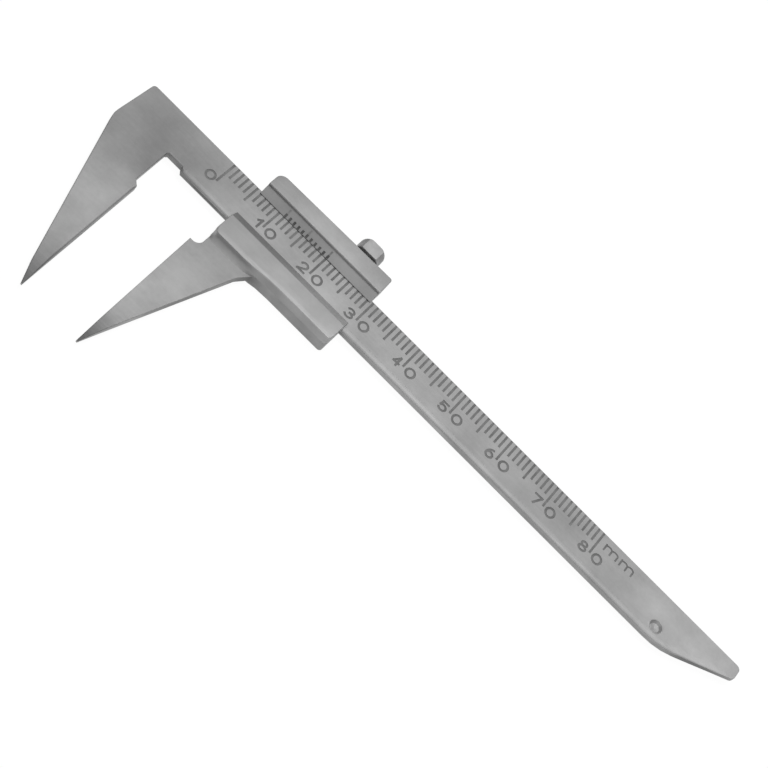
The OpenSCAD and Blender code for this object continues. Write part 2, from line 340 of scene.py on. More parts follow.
@dataclass
class Shell:
    """Patches of points and faces that are welded into one closed mesh."""

    points: list[Array] = field(default_factory=list)
    faces: list[tuple[Array, Finish]] = field(default_factory=list)
    count: int = 0

    def add(self, points: Array, faces: Array, finish: Finish) -> None:
        """Adds a patch.

        Args:
            points: (N, 3) points.
            faces: (M, 3 or 4) numbers of points.
            finish: Finish of all its faces.
        """
        self.points.append(points)
        self.faces.append((faces + self.count, finish))
        self.count += len(points)

    def grid(self, rows: Array, finish: Finish, inwards: bool = False) -> None:
        """Adds the quads between closed rows.

        Args:
            rows: (R, N, 3) rings of points that turn left, going up.
            finish: Finish of the quads.
            inwards: Turns the quads over.
        """
        quads = ring_quads(*rows.shape[:2]).reshape(-1, 4)
        self.add(rows.reshape(-1, 3), quads[:, ::-1] if inwards else quads, finish)

    def welded(self, warp: Warp | None) -> tuple[Array, list[list[int]], Array]:
        """Joins points that coincide, and turns quads that collapsed into triangles.

        Args:
            warp: Bends the points before they are joined, or None.

        Returns:
            The points, the faces and the number of each face's finish.
        """
        points = np.vstack(self.points)
        points = warp(points) if warp else points
        cells = np.round(points / WELD).astype(np.int64)
        _, first, index = np.unique(cells, axis=0, return_index=True, return_inverse=True)
        index = index.ravel()
        kept = []
        for faces, finish in self.faces:
            faces = index[faces]
            whole = (faces != np.roll(faces, -1, axis=1)).all(axis=1)
            kept.append((faces[whole], finish))
            if faces.shape[1] == 4:
                split = np.vstack([faces[~whole][:, [0, 1, 2]], faces[~whole][:, [0, 2, 3]]])
                kept.append((split[(split != np.roll(split, -1, axis=1)).all(axis=1)], finish))
        used = np.unique(np.concatenate([faces.ravel() for faces, _ in kept]))
        number = np.zeros(len(first), np.int64)
        number[used] = np.arange(len(used))
        finishes = np.concatenate([np.full(len(faces), finish.value) for faces, finish in kept])
        return points[first[used]], [f for faces, _ in kept for f in number[faces].tolist()], finishes

    def build(self, name: str, finishes: Finishes, warp: Warp | None = None) -> bpy.types.Object:
        """Makes the welded mesh an object of the scene.

        Args:
            name: Name of the piece.
            finishes: Its materials, in the order of Finish.
            warp: Bends the points, or None.

        Returns:
            The new object, at the origin.
        """
        points, faces, numbers = self.welded(warp)
        mesh = bpy.data.meshes.new(name)
        mesh.from_pydata((points * MM).tolist(), [], faces)
        for material in finishes:
            mesh.materials.append(material)
        mesh.polygons.foreach_set("material_index", numbers.astype(np.int32))
        mesh.shade_smooth()
        mesh.set_sharp_from_angle(angle=SHARP)
        mesh.update()
        piece = bpy.data.objects.new(name, mesh)
        bpy.context.scene.collection.objects.link(piece)
        return piece


@dataclass(frozen=True)
class Recess:
    """Closed shapes sunk to one depth below a face, or cut right through it where depth is None."""

    shapes: Sequence[Array]
    depth: float | None
    finish: Finish = Finish.EDGE


def cut_face(outline: Array, recesses: Sequence[Recess], inner: Array) -> tuple[Array, Array, Array]:
    """Triangles of a flat face with recesses, by a constrained Delaunay triangulation.

    Args:
        outline: (N, 2) ring of the face, counter-clockwise.
        recesses: What is sunk into the face.
        inner: (K, 2) further points inside the outline.

    Returns:
        The points, the triangles, and for each triangle 0 or the number of its recess from 1.
    """
    shapes = [outline] + [shape for recess in recesses for shape in recess.shapes]
    owner = np.array([0] + [k for k, recess in enumerate(recesses, 1) for _ in recess.shapes])
    points = np.vstack([*shapes, inner])
    ends = np.cumsum([len(shape) for shape in shapes])
    loops = [list(range(end - len(shape), end)) for end, shape in zip(ends, shapes)]
    found = delaunay_2d_cdt([Vector(p) for p in points.tolist()], [], loops, INSIDE, WELD / 10)
    made_points, _, triangles, point_sources, _, loops_over = found
    source = np.array([origin[0] if origin else -1 for origin in point_sources])
    made = np.array([tuple(v) for v in made_points])
    flat = np.where(source[:, None] >= 0, points[source], made)
    level = np.array([owner[loop_numbers].max() for loop_numbers in loops_over])
    return flat, np.array(triangles), level


def add_face(
    shell: Shell,
    outline: Array,
    place: Place,
    finish: Finish,
    recesses: Sequence[Recess] = (),
    inner: Array = NO_POINTS,
    flip: bool = False,
) -> None:
    """Adds a flat face with its recesses: the face, each floor and the walls between two levels.

    Args:
        shell: What the face is added to.
        outline: (N, 2) ring of the face, counter-clockwise.
        place: Gives the place of (K, 2) points at a depth below the face.
        finish: Finish of the face itself.
        recesses: What is sunk into the face.
        inner: (K, 2) further points inside the outline.
        flip: Turns the faces over, for the underside of a solid.
    """
    points, triangles, level = cut_face(outline, recesses, inner)
    depths = [0.0] + [recess.depth for recess in recesses]
    finishes = [finish] + [recess.finish for recess in recesses]
    for k, depth in enumerate(depths):
        if depth is not None:
            chosen = triangles[level == k]
            shell.add(place(points, depth), chosen[:, ::-1] if flip else chosen, finishes[k])
    edges = triangles[:, [[0, 1], [1, 2], [2, 0]]].reshape(-1, 2)
    edge_level = np.repeat(level, 3)
    key = edges.min(axis=1) * len(points) + edges.max(axis=1)
    order = np.argsort(key, kind="stable")
    twins = key[order[1:]] == key[order[:-1]]
    pairs = np.column_stack([order[:-1][twins], order[1:][twins]])
    pairs = np.vstack([pairs, pairs[:, ::-1]])
    for k, recess in enumerate(recesses, 1):
        if recess.depth is None:
            continue
        rim = edges[pairs[(edge_level[pairs[:, 0]] == 0) & (edge_level[pairs[:, 1]] == k), 0]]
        count = len(points)
        quads = np.column_stack([rim[:, 0], rim[:, 0] + count, rim[:, 1] + count, rim[:, 1]])
        wall = np.vstack([place(points, 0.0), place(points, recess.depth)])
        shell.add(wall, quads[:, ::-1] if flip else quads, recess.finish)


@dataclass
class Prism:
    """Solid of one outline carried along a straight axis, with both end edges rounded.

    Its own coordinates are across and up in the plane of the outline, and along the axis. The
    quarter round of an edge has the points (r (1 - cos a), f r (1 - sin a)), inset and height, with
    f below 1 where the high edge is flattened.
    """

    outline: Outline
    low: float
    high: float
    low_edge: Array | float = 0.0
    high_edge: Array | float = 0.0
    flattened: Array | float = 1.0
    stations: Sequence[float] = ()
    axes: Axes = Axes.PLATE

    def rows(self) -> Array:
        """Rings from the low face to the high one.

        Returns:
            (R, N, 3) points in the solid's own coordinates.
        """
        angle = np.linspace(0, math.pi / 2, EDGE_STEPS + 1)[:, None]
        size = len(self.outline.points)
        edges = ((self.low_edge, self.low, 1.0), (self.high_edge, self.high, -np.asarray(self.flattened)))
        inset, height = [], []
        for edge, face, fall in edges:
            radius = np.broadcast_to(edge, size)
            flat = radius + np.minimum(EDGE_BAND, radius / 2 + LEAST_BAND)
            inset.append(np.vstack([(1 - np.cos(angle)) * radius, flat]))
            height.append(face + fall * np.vstack([(1 - np.sin(angle)) * radius, 0 * flat]))
        middle = np.repeat(np.array(self.stations, float)[:, None], size, axis=1)
        insets = np.vstack([inset[0][::-1], 0 * middle, inset[1]])
        heights = np.vstack([height[0][::-1], middle, height[1]])
        return np.concatenate([self.outline.inset(insets), heights[..., None]], axis=-1)

    def placed(self, points: Array) -> Array:
        """Points in the part's frame."""
        return points[..., list(self.axes.value)]

    def on_face(self, height: float, sink: float) -> Place:
        """Way to place points of the outline's plane at a height plus sink times a depth.

        Args:
            height: Height of the face along the axis.
            sink: 1 where recesses go up into the solid, and -1 where they go down.

        Returns:
            The function that gives their place in the part's frame.
        """
        return lambda points, depth: self.placed(
            np.column_stack([points, np.full(len(points), height + sink * depth)])
        )

    def add_to(
        self,
        shell: Shell,
        wall: Finish,
        face: Finish,
        low_recesses: Sequence[Recess] = (),
        high_recesses: Sequence[Recess] = (),
        inner: Array = NO_POINTS,
        open_strips: Sequence[Strip] = (),
        dressed: Sequence[tuple[Strip, Finish]] = (),
    ) -> None:
        """Adds the walls, the rounded edges and both faces.

        Args:
            shell: What they are added to.
            wall: Finish of the walls.
            face: Finish of the two faces and their rounded edges.
            low_recesses: What is sunk into the low face.
            high_recesses: What is sunk into the high face.
            inner: Further points of both faces, for solids that are bent later.
            open_strips: Strips of the wall that are left open.
            dressed: Strips of the wall that have a finish of their own.
        """
        rows = self.rows()
        count, size = rows.shape[:2]
        quads = ring_quads(count, size)
        finish = np.full((count - 1, size), face.value)
        edge = EDGE_STEPS + 1
        finish[edge:-edge] = wall.value
        own = [(strip, kind.value) for strip, kind in dressed] + [(strip, OPEN) for strip in open_strips]
        for (side, first, last), value in own:
            finish[edge + 1 + first : edge + 1 + last, side] = value
        for kind in Finish:
            shell.add(self.placed(rows).reshape(-1, 3), quads[finish == kind.value], kind)
        add_face(shell, rows[0][:, :2], self.on_face(self.low, 1), face, low_recesses, inner, flip=True)
        add_face(shell, rows[-1][:, :2], self.on_face(self.high, -1), face, high_recesses, inner)

    def add_strip(self, shell: Shell, strip: Strip, finish: Finish, recesses: Sequence[Recess]) -> None:
        """Fills an open strip of the wall with a flat face that has recesses.

        Args:
            shell: What the face is added to.
            strip: The strip, which is one of open_strips.
            finish: Finish of the face.
            recesses: Their shapes are in the strip's plane: from its first edge, and along the axis.
        """
        side, first, last = strip
        ring = self.outline.points
        start, end = ring[side], ring[(side + 1) % len(ring)]
        across = unit(end - start)
        along = np.array(self.stations[first : last + 1], float)
        width = np.linalg.norm(end - start)
        near, far = np.column_stack([0 * along, along]), np.column_stack([0 * along + width, along])

        def place(points: Array, depth: float) -> Array:
            """Places points of the strip's plane at a depth inside the solid."""
            plan = start + points[:, :1] * across + depth * left_of(across)
            return self.placed(np.column_stack([plan, points[:, 1]]))

        add_face(shell, np.vstack([near[:1], far, near[:0:-1]]), place, finish, recesses)


def add_bore(
    shell: Shell, cx: float, cy: float, radius: float, low: float, high: float, lead: float
) -> Array:
    """Adds the wall of a round hole through a plate, with a small lead at both mouths.

    Args:
        shell: What the wall is added to.
        cx: Centre of the hole along X.
        cy: Centre of the hole along Y.
        radius: Radius of the hole.
        low: Height of the plate's back face.
        high: Height of the plate's front face.
        lead: Width and depth of the lead.

    Returns:
        The ring of the mouth, to be cut from both faces.
    """
    mouth = circle(cx, cy, radius + lead)
    wall = circle(cx, cy, radius)
    levels = ((mouth, low), (wall, low + lead), (wall, high - lead), (mouth, high))
    rows = np.stack([np.column_stack([ring, np.full(len(ring), z)]) for ring, z in levels])
    shell.grid(rows, Finish.EDGE, inwards=True)
    return mouth


def add_turned(
    shell: Shell, profile: Array, centre: tuple[float, float, float], axes: Axes, finish: Finish
) -> None:
    """Adds a turned solid: a profile of (radius, height) points carried round its axis.

    Args:
        shell: What the solid is added to.
        profile: From the axis at the low end out and up to the axis at the high end.
        centre: A point on the axis.
        axes: Which way the axis points.
        finish: Finish of the whole solid.
    """
    angle = np.radians(np.arange(0, 360, TURN_STEP))
    radius, height = profile[:, :1], profile[:, 1:]
    rows = np.stack([radius * np.cos(angle), radius * np.sin(angle), height + 0 * angle], axis=-1)
    shell.grid(rows[..., list(axes.value)] + np.array(centre), finish)


def sign_paths(sign: str) -> list[Array]:
    """Centre lines of one sign in a box one unit wide and high, in plain engraver's strokes.

    Args:
        sign: A digit, or the letter m of the unit.

    Returns:
        Open paths of lines and elliptic arcs. A closed round is two arcs that overlap.
    """
    halves = ((-6, 186), (174, 366))
    paths = {
        "0": [arc(0.5, 0.5, 0.5, 0.5, *half) for half in halves],
        "1": [line((1, 0), (1, 1)), line((1, 1), (0, 0.7))],
        "2": [np.vstack([arc(0.5, 0.68, 0.46, 0.32, 160, -40), line((0.02, 0))]), line((0.02, 0), (1, 0))],
        "3": [arc(0.44, 0.76, 0.46, 0.24, 150, -90), arc(0.44, 0.26, 0.52, 0.26, 90, -150)],
        "4": [line((0.74, 0), (0.74, 1)), line((0.74, 1), (0, 0.3)), line((0, 0.3), (1, 0.3))],
        "5": [line((0.92, 1), (0.14, 1)), line((0.14, 1), (0.08, 0.54))]
        + [arc(0.46, 0.33, 0.5, 0.33, 140, -145)],
        "6": [arc(0.86, 0.33, 0.82, 0.67, 100, 180)] + [arc(0.5, 0.32, 0.46, 0.32, *half) for half in halves],
        "7": [line((0, 1), (1, 1)), line((1, 1), (0.36, 0))],
        "8": [arc(0.5, 0.76, 0.38, 0.24, *half) for half in halves]
        + [arc(0.5, 0.26, 0.48, 0.26, *half) for half in halves],
        "m": [line((0, 0), (0, 1))]
        + [np.vstack([arc(x - 0.25, 0.65, 0.25, 0.35, 180, 0), line((x, 0))]) for x in (0.5, 1)],
    }
    return paths[sign]


def engraved_sign(
    sign: str, left: float, base: float, width: float, height: float, stroke: float
) -> list[Array]:
    """Closed shapes of one engraved sign, a band for each of its strokes.

    Args:
        sign: A digit or the letter m.
        left: Left end of its strokes' centre lines.
        base: Lower end of its strokes' centre lines.
        width: Width between its strokes' centre lines.
        height: Height between its strokes' centre lines.
        stroke: Width of the strokes.

    Returns:
        One band for each stroke.
    """
    return [band(path * (width, height) + (left, base), stroke) for path in sign_paths(sign)]


@dataclass(frozen=True)
class Shade:
    """Round patch painted darker or paler into a finish's colour, which fades out at its rim. Most such
    patches are painted shade or painted light, standing in for how light falls on the part.
    """

    centre: tuple[float, float, float]
    reach: float
    level: float

    def over(
        self, tree: bpy.types.NodeTree, where: bpy.types.NodeSocket, colour: bpy.types.NodeSocket
    ) -> bpy.types.NodeSocket:
        """Lays the patch over a material's colour.

        Args:
            tree: Node tree of the material.
            where: Socket that gives the place on the object.
            colour: Socket that gives the colour so far.

        Returns:
            The socket of the colour with the patch.
        """
        centre = [value * MM for value in self.centre]
        away = add_node(tree, "ShaderNodeVectorMath", {0: where, 1: centre}, operation="DISTANCE")
        fade = {"Value": away.outputs["Value"], "From Max": self.reach * MM, "To Min": self.level}
        level = add_node(tree, "ShaderNodeMapRange", fade, interpolation_type="SMOOTHSTEP")
        both = {MIX_SHARE: 1.0, MIX_FIRST: colour, MIX_SECOND: level}
        mixed = add_node(tree, "ShaderNodeMix", both, data_type="RGBA", blend_type="MULTIPLY")
        return mixed.outputs[MIX_RESULT]


@dataclass(frozen=True)
class Steel:
    """Stainless steel that was ground and then rubbed with fine abrasive.

    It gives the eye a soft grey sheen with faint streaks along the rubbing, and cloudy patches where
    it was handled. The marks of the abrasive are finer than a pixel, so they are drawn coarser.
    """

    name: str
    clean: str
    handled: str
    roughness: float
    rub: Rub = Rub.ALONG_X
    # Patches of painted shade and painted light laid over the colour, with some plain darker or paler tone
    shades: Sequence[Shade] = ()
    cloud_mm: float = 7.0
    grain_mm: float = 0.7
    streak_mm: float = 0.3
    streak_len_mm: float = 9.0
    # Shares of clouds, grain and streaks in the tint, and the stretch of their sum that is used
    cloud_share: float = 0.72
    grain_share: float = 0.16
    streak_share: float = 0.12
    tint_range: tuple[float, float] = (0.36, 0.64)
    # Octaves of the clouds' noise and of the finer ones
    cloud_detail: float = 3.0
    fine_detail: float = 2.0
    # How far the streaks change the roughness, and their relief
    gloss_spread: float = 0.08
    relief_strength: float = 0.25
    relief_mm: float = 0.008

    def material(self) -> bpy.types.Material:
        """Builds the material: clouds and grain tint the metal, streaks drive gloss and relief.

        Returns:
            The new material.
        """
        made = bpy.data.materials.new(self.name)
        made.use_nodes = True
        tree = made.node_tree
        where = add_node(tree, "ShaderNodeTexCoord").outputs["Object"]
        long_axis = np.array(self.rub.value)
        stretch = long_axis / (self.streak_len_mm * MM) + (1 - long_axis) / (self.streak_mm * MM)
        drawn_out = add_node(tree, "ShaderNodeMapping", {"Vector": where, "Scale": stretch.tolist()})
        patterns = (
            (self.cloud_share, where, 1 / (self.cloud_mm * MM), self.cloud_detail),
            (self.grain_share, where, 1 / (self.grain_mm * MM), self.fine_detail),
            (self.streak_share, drawn_out, 1.0, self.fine_detail),
        )
        tint = 0.0
        for share, place, scale, detail in patterns:
            pattern = {"Vector": place, "Scale": scale, "Detail": detail}
            noise = add_node(tree, "ShaderNodeTexNoise", pattern)
            tint = add_node(tree, "ShaderNodeMath", {0: noise, 1: share, 2: tint}, operation="MULTIPLY_ADD")
        low, high = self.tint_range
        spread = add_node(tree, "ShaderNodeMapRange", {"Value": tint, "From Min": low, "From Max": high})
        tones = {MIX_SHARE: spread, MIX_FIRST: linear(self.handled), MIX_SECOND: linear(self.clean)}
        colour = add_node(tree, "ShaderNodeMix", tones, data_type="RGBA").outputs[MIX_RESULT]
        # Painted shade and painted light, patch by patch
        for shade in self.shades:
            colour = shade.over(tree, where, colour)
        # The last noise is the one of the streaks
        gloss = {"To Min": self.roughness - self.gloss_spread, "To Max": self.roughness + self.gloss_spread}
        rough = add_node(tree, "ShaderNodeMapRange", {"Value": noise, **gloss})
        depth = {"Strength": self.relief_strength, "Distance": self.relief_mm * MM}
        relief = add_node(tree, "ShaderNodeBump", {"Height": noise, **depth})
        sockets = tree.nodes["Principled BSDF"].inputs
        sockets["Metallic"].default_value = 1.0
        tree.links.new(colour, sockets["Base Color"])
        tree.links.new(rough.outputs[0], sockets["Roughness"])
        tree.links.new(relief.outputs[0], sockets["Normal"])
        return made


@dataclass(frozen=True)
class Ink:
    """Black paint rubbed into engraved lines, worn pale in places.

    It gives the eye a dull dark grey that varies from line to line.
    """

    name: str
    dark: str
    worn: str
    patch_mm: float = 1.6
    patch_detail: float = 2.0
    wear_range: tuple[float, float] = (0.35, 0.65)
    roughness: float = 0.7

    def material(self) -> bpy.types.Material:
        """Builds the material: a dull coat whose shade wanders between fresh and worn paint.

        Returns:
            The new material.
        """
        made = bpy.data.materials.new(self.name)
        made.use_nodes = True
        tree = made.node_tree
        where = add_node(tree, "ShaderNodeTexCoord").outputs["Object"]
        patches = {"Vector": where, "Scale": 1 / (self.patch_mm * MM), "Detail": self.patch_detail}
        wear = add_node(tree, "ShaderNodeTexNoise", patches)
        low, high = self.wear_range
        spread = add_node(tree, "ShaderNodeMapRange", {"Value": wear, "From Min": low, "From Max": high})
        tones = {MIX_SHARE: spread, MIX_FIRST: linear(self.dark), MIX_SECOND: linear(self.worn)}
        mixed = add_node(tree, "ShaderNodeMix", tones, data_type="RGBA")
        sockets = tree.nodes["Principled BSDF"].inputs
        tree.links.new(mixed.outputs[MIX_RESULT], sockets["Base Color"])
        sockets["Roughness"].default_value = self.roughness
        return made


@dataclass(frozen=True)
class Gauge:
    """Driving sizes that the beam, the slider and the clamp share."""

    beam_w: float = 8.3
    low_grow: float = 0.2
    beam_t: float = 1.3
    zero_offset: float = 6.85
    reading: float = 11.0
    jaw_reach: float = 35.2
    shoulder_drop: float = 8.4
    jaw_lean: float = math.radians(1.5)
    # Width that a jaw gains for each millimetre above its point
    jaw_growth: float = 0.3
    tip_w: float = 0.24
    tip_t: float = 0.45
    tip_facet_len: float = 5.0
    facet_blend: float = 2.5
    # Net of points inside a jaw that lets its facet bend: its rows above the point, and shares of the width
    net_rows: tuple[float, float, float] = (0.8, 16.0, 0.5)
    net_shares: tuple[float, ...] = (0.25, 0.5, 0.75)
    # Largest radius of a jaw's edges, by share of its width and at all
    edge_share: float = 0.2
    edge_most: float = 1.0
    slide_clear: float = 0.04
    slider_len: float = 23.78
    jaw_lead: float = 1.6
    upper_rail_w: float = 4.2
    rail_h: float = 1.8
    back_plate_t: float = 0.75
    pad_gap: float = 0.21
    pad_room: float = 0.05
    pad_t: float = 0.7
    pad_len: float = 8.0
    screw_from_end: float = 5.53
    screw_d: float = 2.0
    screw_point_len: float = 0.6
    screw_clear: float = 0.04

    @property
    def half_w(self) -> float:
        """Half of the beam's width."""
        return self.beam_w / 2

    @property
    def low_y(self) -> float:
        """Lower edge of the beam, whose corners are rounded well back."""
        return -self.half_w - self.low_grow

    @property
    def fixed_face_x(self) -> float:
        """Place of the fixed measuring face at its shoulder."""
        return -self.zero_offset

    @property
    def moving_face_x(self) -> float:
        """Place of the moving measuring face at its shoulder."""
        return self.fixed_face_x + self.reading

    @property
    def slider_x(self) -> float:
        """End of the slider towards the jaws."""
        return self.moving_face_x + self.jaw_lead

    @property
    def slider_end(self) -> float:
        """End of the slider towards the tail."""
        return self.slider_x + self.slider_len

    @property
    def slider_top(self) -> float:
        """Outer face of the upper rail."""
        return self.half_w + self.upper_rail_w

    @property
    def shoulder_y(self) -> float:
        """Height of the jaws' shoulders."""
        return -self.half_w - self.shoulder_drop

    @property
    def tip_y(self) -> float:
        """Height of the jaws' points."""
        return -self.half_w - self.jaw_reach

    @property
    def channel_z(self) -> float:
        """Floor of the slider's channel."""
        return -self.slide_clear

    @property
    def jaw_face_z(self) -> float:
        """Front face of the moving jaw."""
        return self.beam_t + self.slide_clear

    @property
    def rail_top_z(self) -> float:
        """Front face of both rails."""
        return self.jaw_face_z + self.rail_h

    @property
    def back_z(self) -> float:
        """Back face of the slider, which the caliper lies on."""
        return self.channel_z - self.back_plate_t

    @property
    def screw_x(self) -> float:
        """Place of the clamp screw along the beam."""
        return self.slider_end - self.screw_from_end

    @property
    def screw_z(self) -> float:
        """Height of the clamp screw's axis."""
        return (self.channel_z + self.rail_top_z) / 2

    @property
    def pad_back_y(self) -> float:
        """Face of the pad that the screw presses on."""
        return self.half_w + self.pad_gap + self.pad_t

    def lean_shift(self, y: float) -> float:
        """Shift of a leaning measuring face at a height below the shoulder."""
        return (self.shoulder_y - y) * math.tan(self.jaw_lean)

    def facet_drop(self, y: Array, face_z: float) -> Array:
        """Depth of the ground facet below a jaw's face.

        With u the distance below the facet's start, it is slope (u + sqrt(u u + b b)) / 2, which
        bends softly over the blend length b from the flat face into the facet's slope.

        Args:
            y: Heights of points on the jaw.
            face_z: Front face of the jaw.

        Returns:
            The depth at each point.
        """
        slope = (face_z - self.tip_t) / self.tip_facet_len
        below = self.tip_y + self.tip_facet_len - y
        return slope * (below + np.hypot(below, self.facet_blend)) / 2

    def jaw_points(self, face_x: float, turn: int) -> Array:
        """Net of points inside a jaw's tapered length, for the bend of its facet.

        Args:
            face_x: Place of the measuring face at the shoulder.
            turn: 1 for a jaw to the right of its measuring face and -1 to the left.

        Returns:
            (K, 2) points.
        """
        above, share = np.meshgrid(np.arange(*self.net_rows), self.net_shares)
        y = self.tip_y + above.ravel()
        width = self.tip_w + above.ravel() * self.jaw_growth
        return np.column_stack([face_x + self.lean_shift(y) + turn * share.ravel() * width, y])

    def edge_limit(self, y: Array) -> Array:
        """Largest edge radius at a height, which shrinks with the jaw's width towards its point."""
        width = self.tip_w + self.jaw_growth * np.maximum(y - self.tip_y, 0)
        return np.minimum(self.edge_most, self.edge_share * width)


@dataclass
class Piece:
    """One finished piece, with the body it rides on, the solid it stands for and its slot."""

    shape: bpy.types.Object
    body: str
    node: str
    slot: str

    def mount(self) -> None:
        """Ties the piece to the frame."""
        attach(self.shape, self.body)
        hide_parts(self.node)
        solid = np.array([list(corner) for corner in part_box(self.node)])
        corners = np.array([list(corner) for corner in self.shape.bound_box])
        off = np.abs(np.array([corners.min(axis=0), corners.max(axis=0)]) - solid).max() / MM
        name, faces = self.shape.name, len(self.shape.data.polygons)
        LOG.info("%s on %s: %d faces, box within %.2f mm of its solid", name, self.body, faces, off)


@dataclass
class Beam:
    """Graduated beam with the fixed jaw, and its stop pin."""

    gauge: Gauge
    scale_len: int = 80
    tail_len: float = 29.5
    tail_slant_len: float = 12.35
    tail_end_w: float = 2.68
    tail_bend_r: float = 13.0
    tail_corner_r: float = 0.8
    tail_end_t: float = 0.75
    tail_blend: float = 2.0
    # Net of points inside the tail that lets it bend: lead before the slant, end, step and heights
    tail_net_lead: float = 6.0
    tail_net_end: float = 1.0
    tail_net_step: float = 0.9
    tail_net_y: tuple[float, ...] = (2.6, 3.1, 3.6)
    root_w: float = 11.02
    corner_drop: float = 1.3
    end_slant: float = 0.43
    top_r: float = 0.6
    corner_r: float = 5.0
    knee_up: float = 4.55
    knee_w: float = 1.98
    knee_r: float = 8.0
    tip_up: float = 0.25
    relief_w: float = 0.9
    relief_depth: float = 0.55
    relief_len: float = 3.6
    relief_corner_r: float = 0.32
    edge_r: float = 0.1
    low_edge_w: float = 1.07
    low_edge_drop: float = 0.45
    low_back_r: float = 0.37
    # The lower edge is sharper past the bend, from a lead before it and over a run, and at the tail's end
    slant_edge_drop: float = 0.24
    slant_lead: float = 3.0
    slant_run: float = 7.0
    end_edge_run: float = 3.0
    end_edge_least: float = 0.25
    relief_edge_r: float = 0.3
    measuring_edge_r: float = 0.45
    graduated_edge_r: float = 0.08
    back_edge_r: float = 0.06
    line_w: float = 0.38
    line_depth: float = 0.06
    line_short: float = 2.9
    line_mid: float = 3.9
    line_long: float = 5.05
    line_start: float = 0.14
    figure_base: float = -1.68
    figure_h: float = 1.72
    figure_w: float = 1.3
    one_w: float = 0.55
    four_w: float = 1.0
    zero_w: float = 1.55
    figure_stroke: float = 0.4
    tens_from_line: float = 0.52
    first_from_line: float = 0.3
    zero_from_line: float = 0.54
    unit_left: float = 81.4
    unit_base: float = 1.6
    unit_w: float = 2.5
    unit_h: float = 1.15
    unit_pitch: float = 3.3
    unit_stroke: float = 0.3
    pin_d: float = 2.5
    pin_from_bend: float = 2.15
    pin_from_edge: float = 2.2
    pin_rim: float = 0.08
    # Dish in the pin's front: inset from the rim and depth of its wall, radius and depth of its centre mark
    pin_wall: tuple[tuple[float, float], ...] = ((0.05, 0.03), (0.33, 0.44), (0.42, 0.48))
    pin_mark: tuple[tuple[float, float], ...] = ((0.25, 0.48), (0.15, 0.51), (0.0, 0.52))
    pin_lead: float = 0.01
    # Proud back end: gap to the slider's back face, smaller radius, round of its end and heights of its step
    pin_back_gap: float = 0.1
    pin_back_step: float = 0.1
    pin_back_r: float = 0.1
    pin_step_z: tuple[float, float] = (0.02, 0.04)

    @property
    def tail_x(self) -> float:
        """End of the tail."""
        return self.scale_len + self.tail_len

    @property
    def bend_x(self) -> float:
        """Bend of the tail's lower edge."""
        return self.tail_x - self.tail_slant_len

    @property
    def pin_place(self) -> tuple[float, float]:
        """Centre of the stop pin."""
        return self.bend_x - self.pin_from_bend, -self.gauge.half_w + self.pin_from_edge

    def outline(self) -> Outline:
        """Outline of the beam, its fixed jaw and its tail.

        Returns:
            The outline, counter-clockwise from the tail's upper corner.
        """
        g, half = self.gauge, self.gauge.half_w
        end_x = g.fixed_face_x - self.root_w + self.end_slant
        tip_y = g.tip_y + self.tip_up
        tip_x = g.fixed_face_x + g.lean_shift(tip_y)
        relief_x, relief_y = g.fixed_face_x - self.relief_w, -half + self.relief_depth
        relief_end = relief_x + g.lean_shift(relief_y) + self.relief_len
        low_y = g.shoulder_y + self.relief_w
        corners = [
            (self.tail_x, half, self.tail_corner_r),
            (end_x, half, self.top_r),
            (end_x - self.end_slant, -half - self.corner_drop, self.corner_r),
            (tip_x - self.knee_w, g.tip_y + self.knee_up, self.knee_r),
            (tip_x - g.tip_w, tip_y, 0),
            (tip_x, tip_y, 0),
            (g.fixed_face_x, g.shoulder_y, 0),
            (relief_x + g.lean_shift(low_y), low_y, 0),
            (relief_x + g.lean_shift(relief_y), relief_y, self.relief_corner_r),
            (relief_end - self.relief_depth, relief_y, 0),
            (relief_end, g.low_y, 0),
            (self.bend_x, g.low_y, self.tail_bend_r),
            (self.tail_x, half - self.tail_end_w, self.tail_corner_r),
        ]
        return rounded(corners, PLATE_STEP)

    def scale_shapes(self) -> list[Array]:
        """Engraved lines at each millimetre, longer at each fifth and tenth, with figures and unit.

        Returns:
            Closed shapes on the front face.
        """
        top = self.gauge.half_w
        shapes = []
        for i in range(self.scale_len + 1):
            length = self.line_long if i % 10 == 0 else self.line_mid if i % 5 == 0 else self.line_short
            shapes.append(box(i - self.line_w / 2, top - length, i + self.line_w / 2, top - self.line_start))
        widths = {"0": self.zero_w, "1": self.one_w, "4": self.four_w}
        half = self.figure_stroke / 2
        for tens in range(self.scale_len // 10 + 1):
            first = str(tens)
            width = widths.get(first, self.figure_w)
            apart = self.tens_from_line if tens else self.first_from_line
            places = [(first, 10 * tens - apart - half - width, width)]
            if tens:
                places.append(("0", 10 * tens + self.zero_from_line + half, self.zero_w))
            for sign, left, wide in places:
                shapes += engraved_sign(sign, left, self.figure_base, wide, self.figure_h, self.figure_stroke)
        for k, sign in enumerate("mm"):
            left = self.unit_left + k * self.unit_pitch
            shapes += engraved_sign(sign, left, self.unit_base, self.unit_w, self.unit_h, self.unit_stroke)
        return shapes

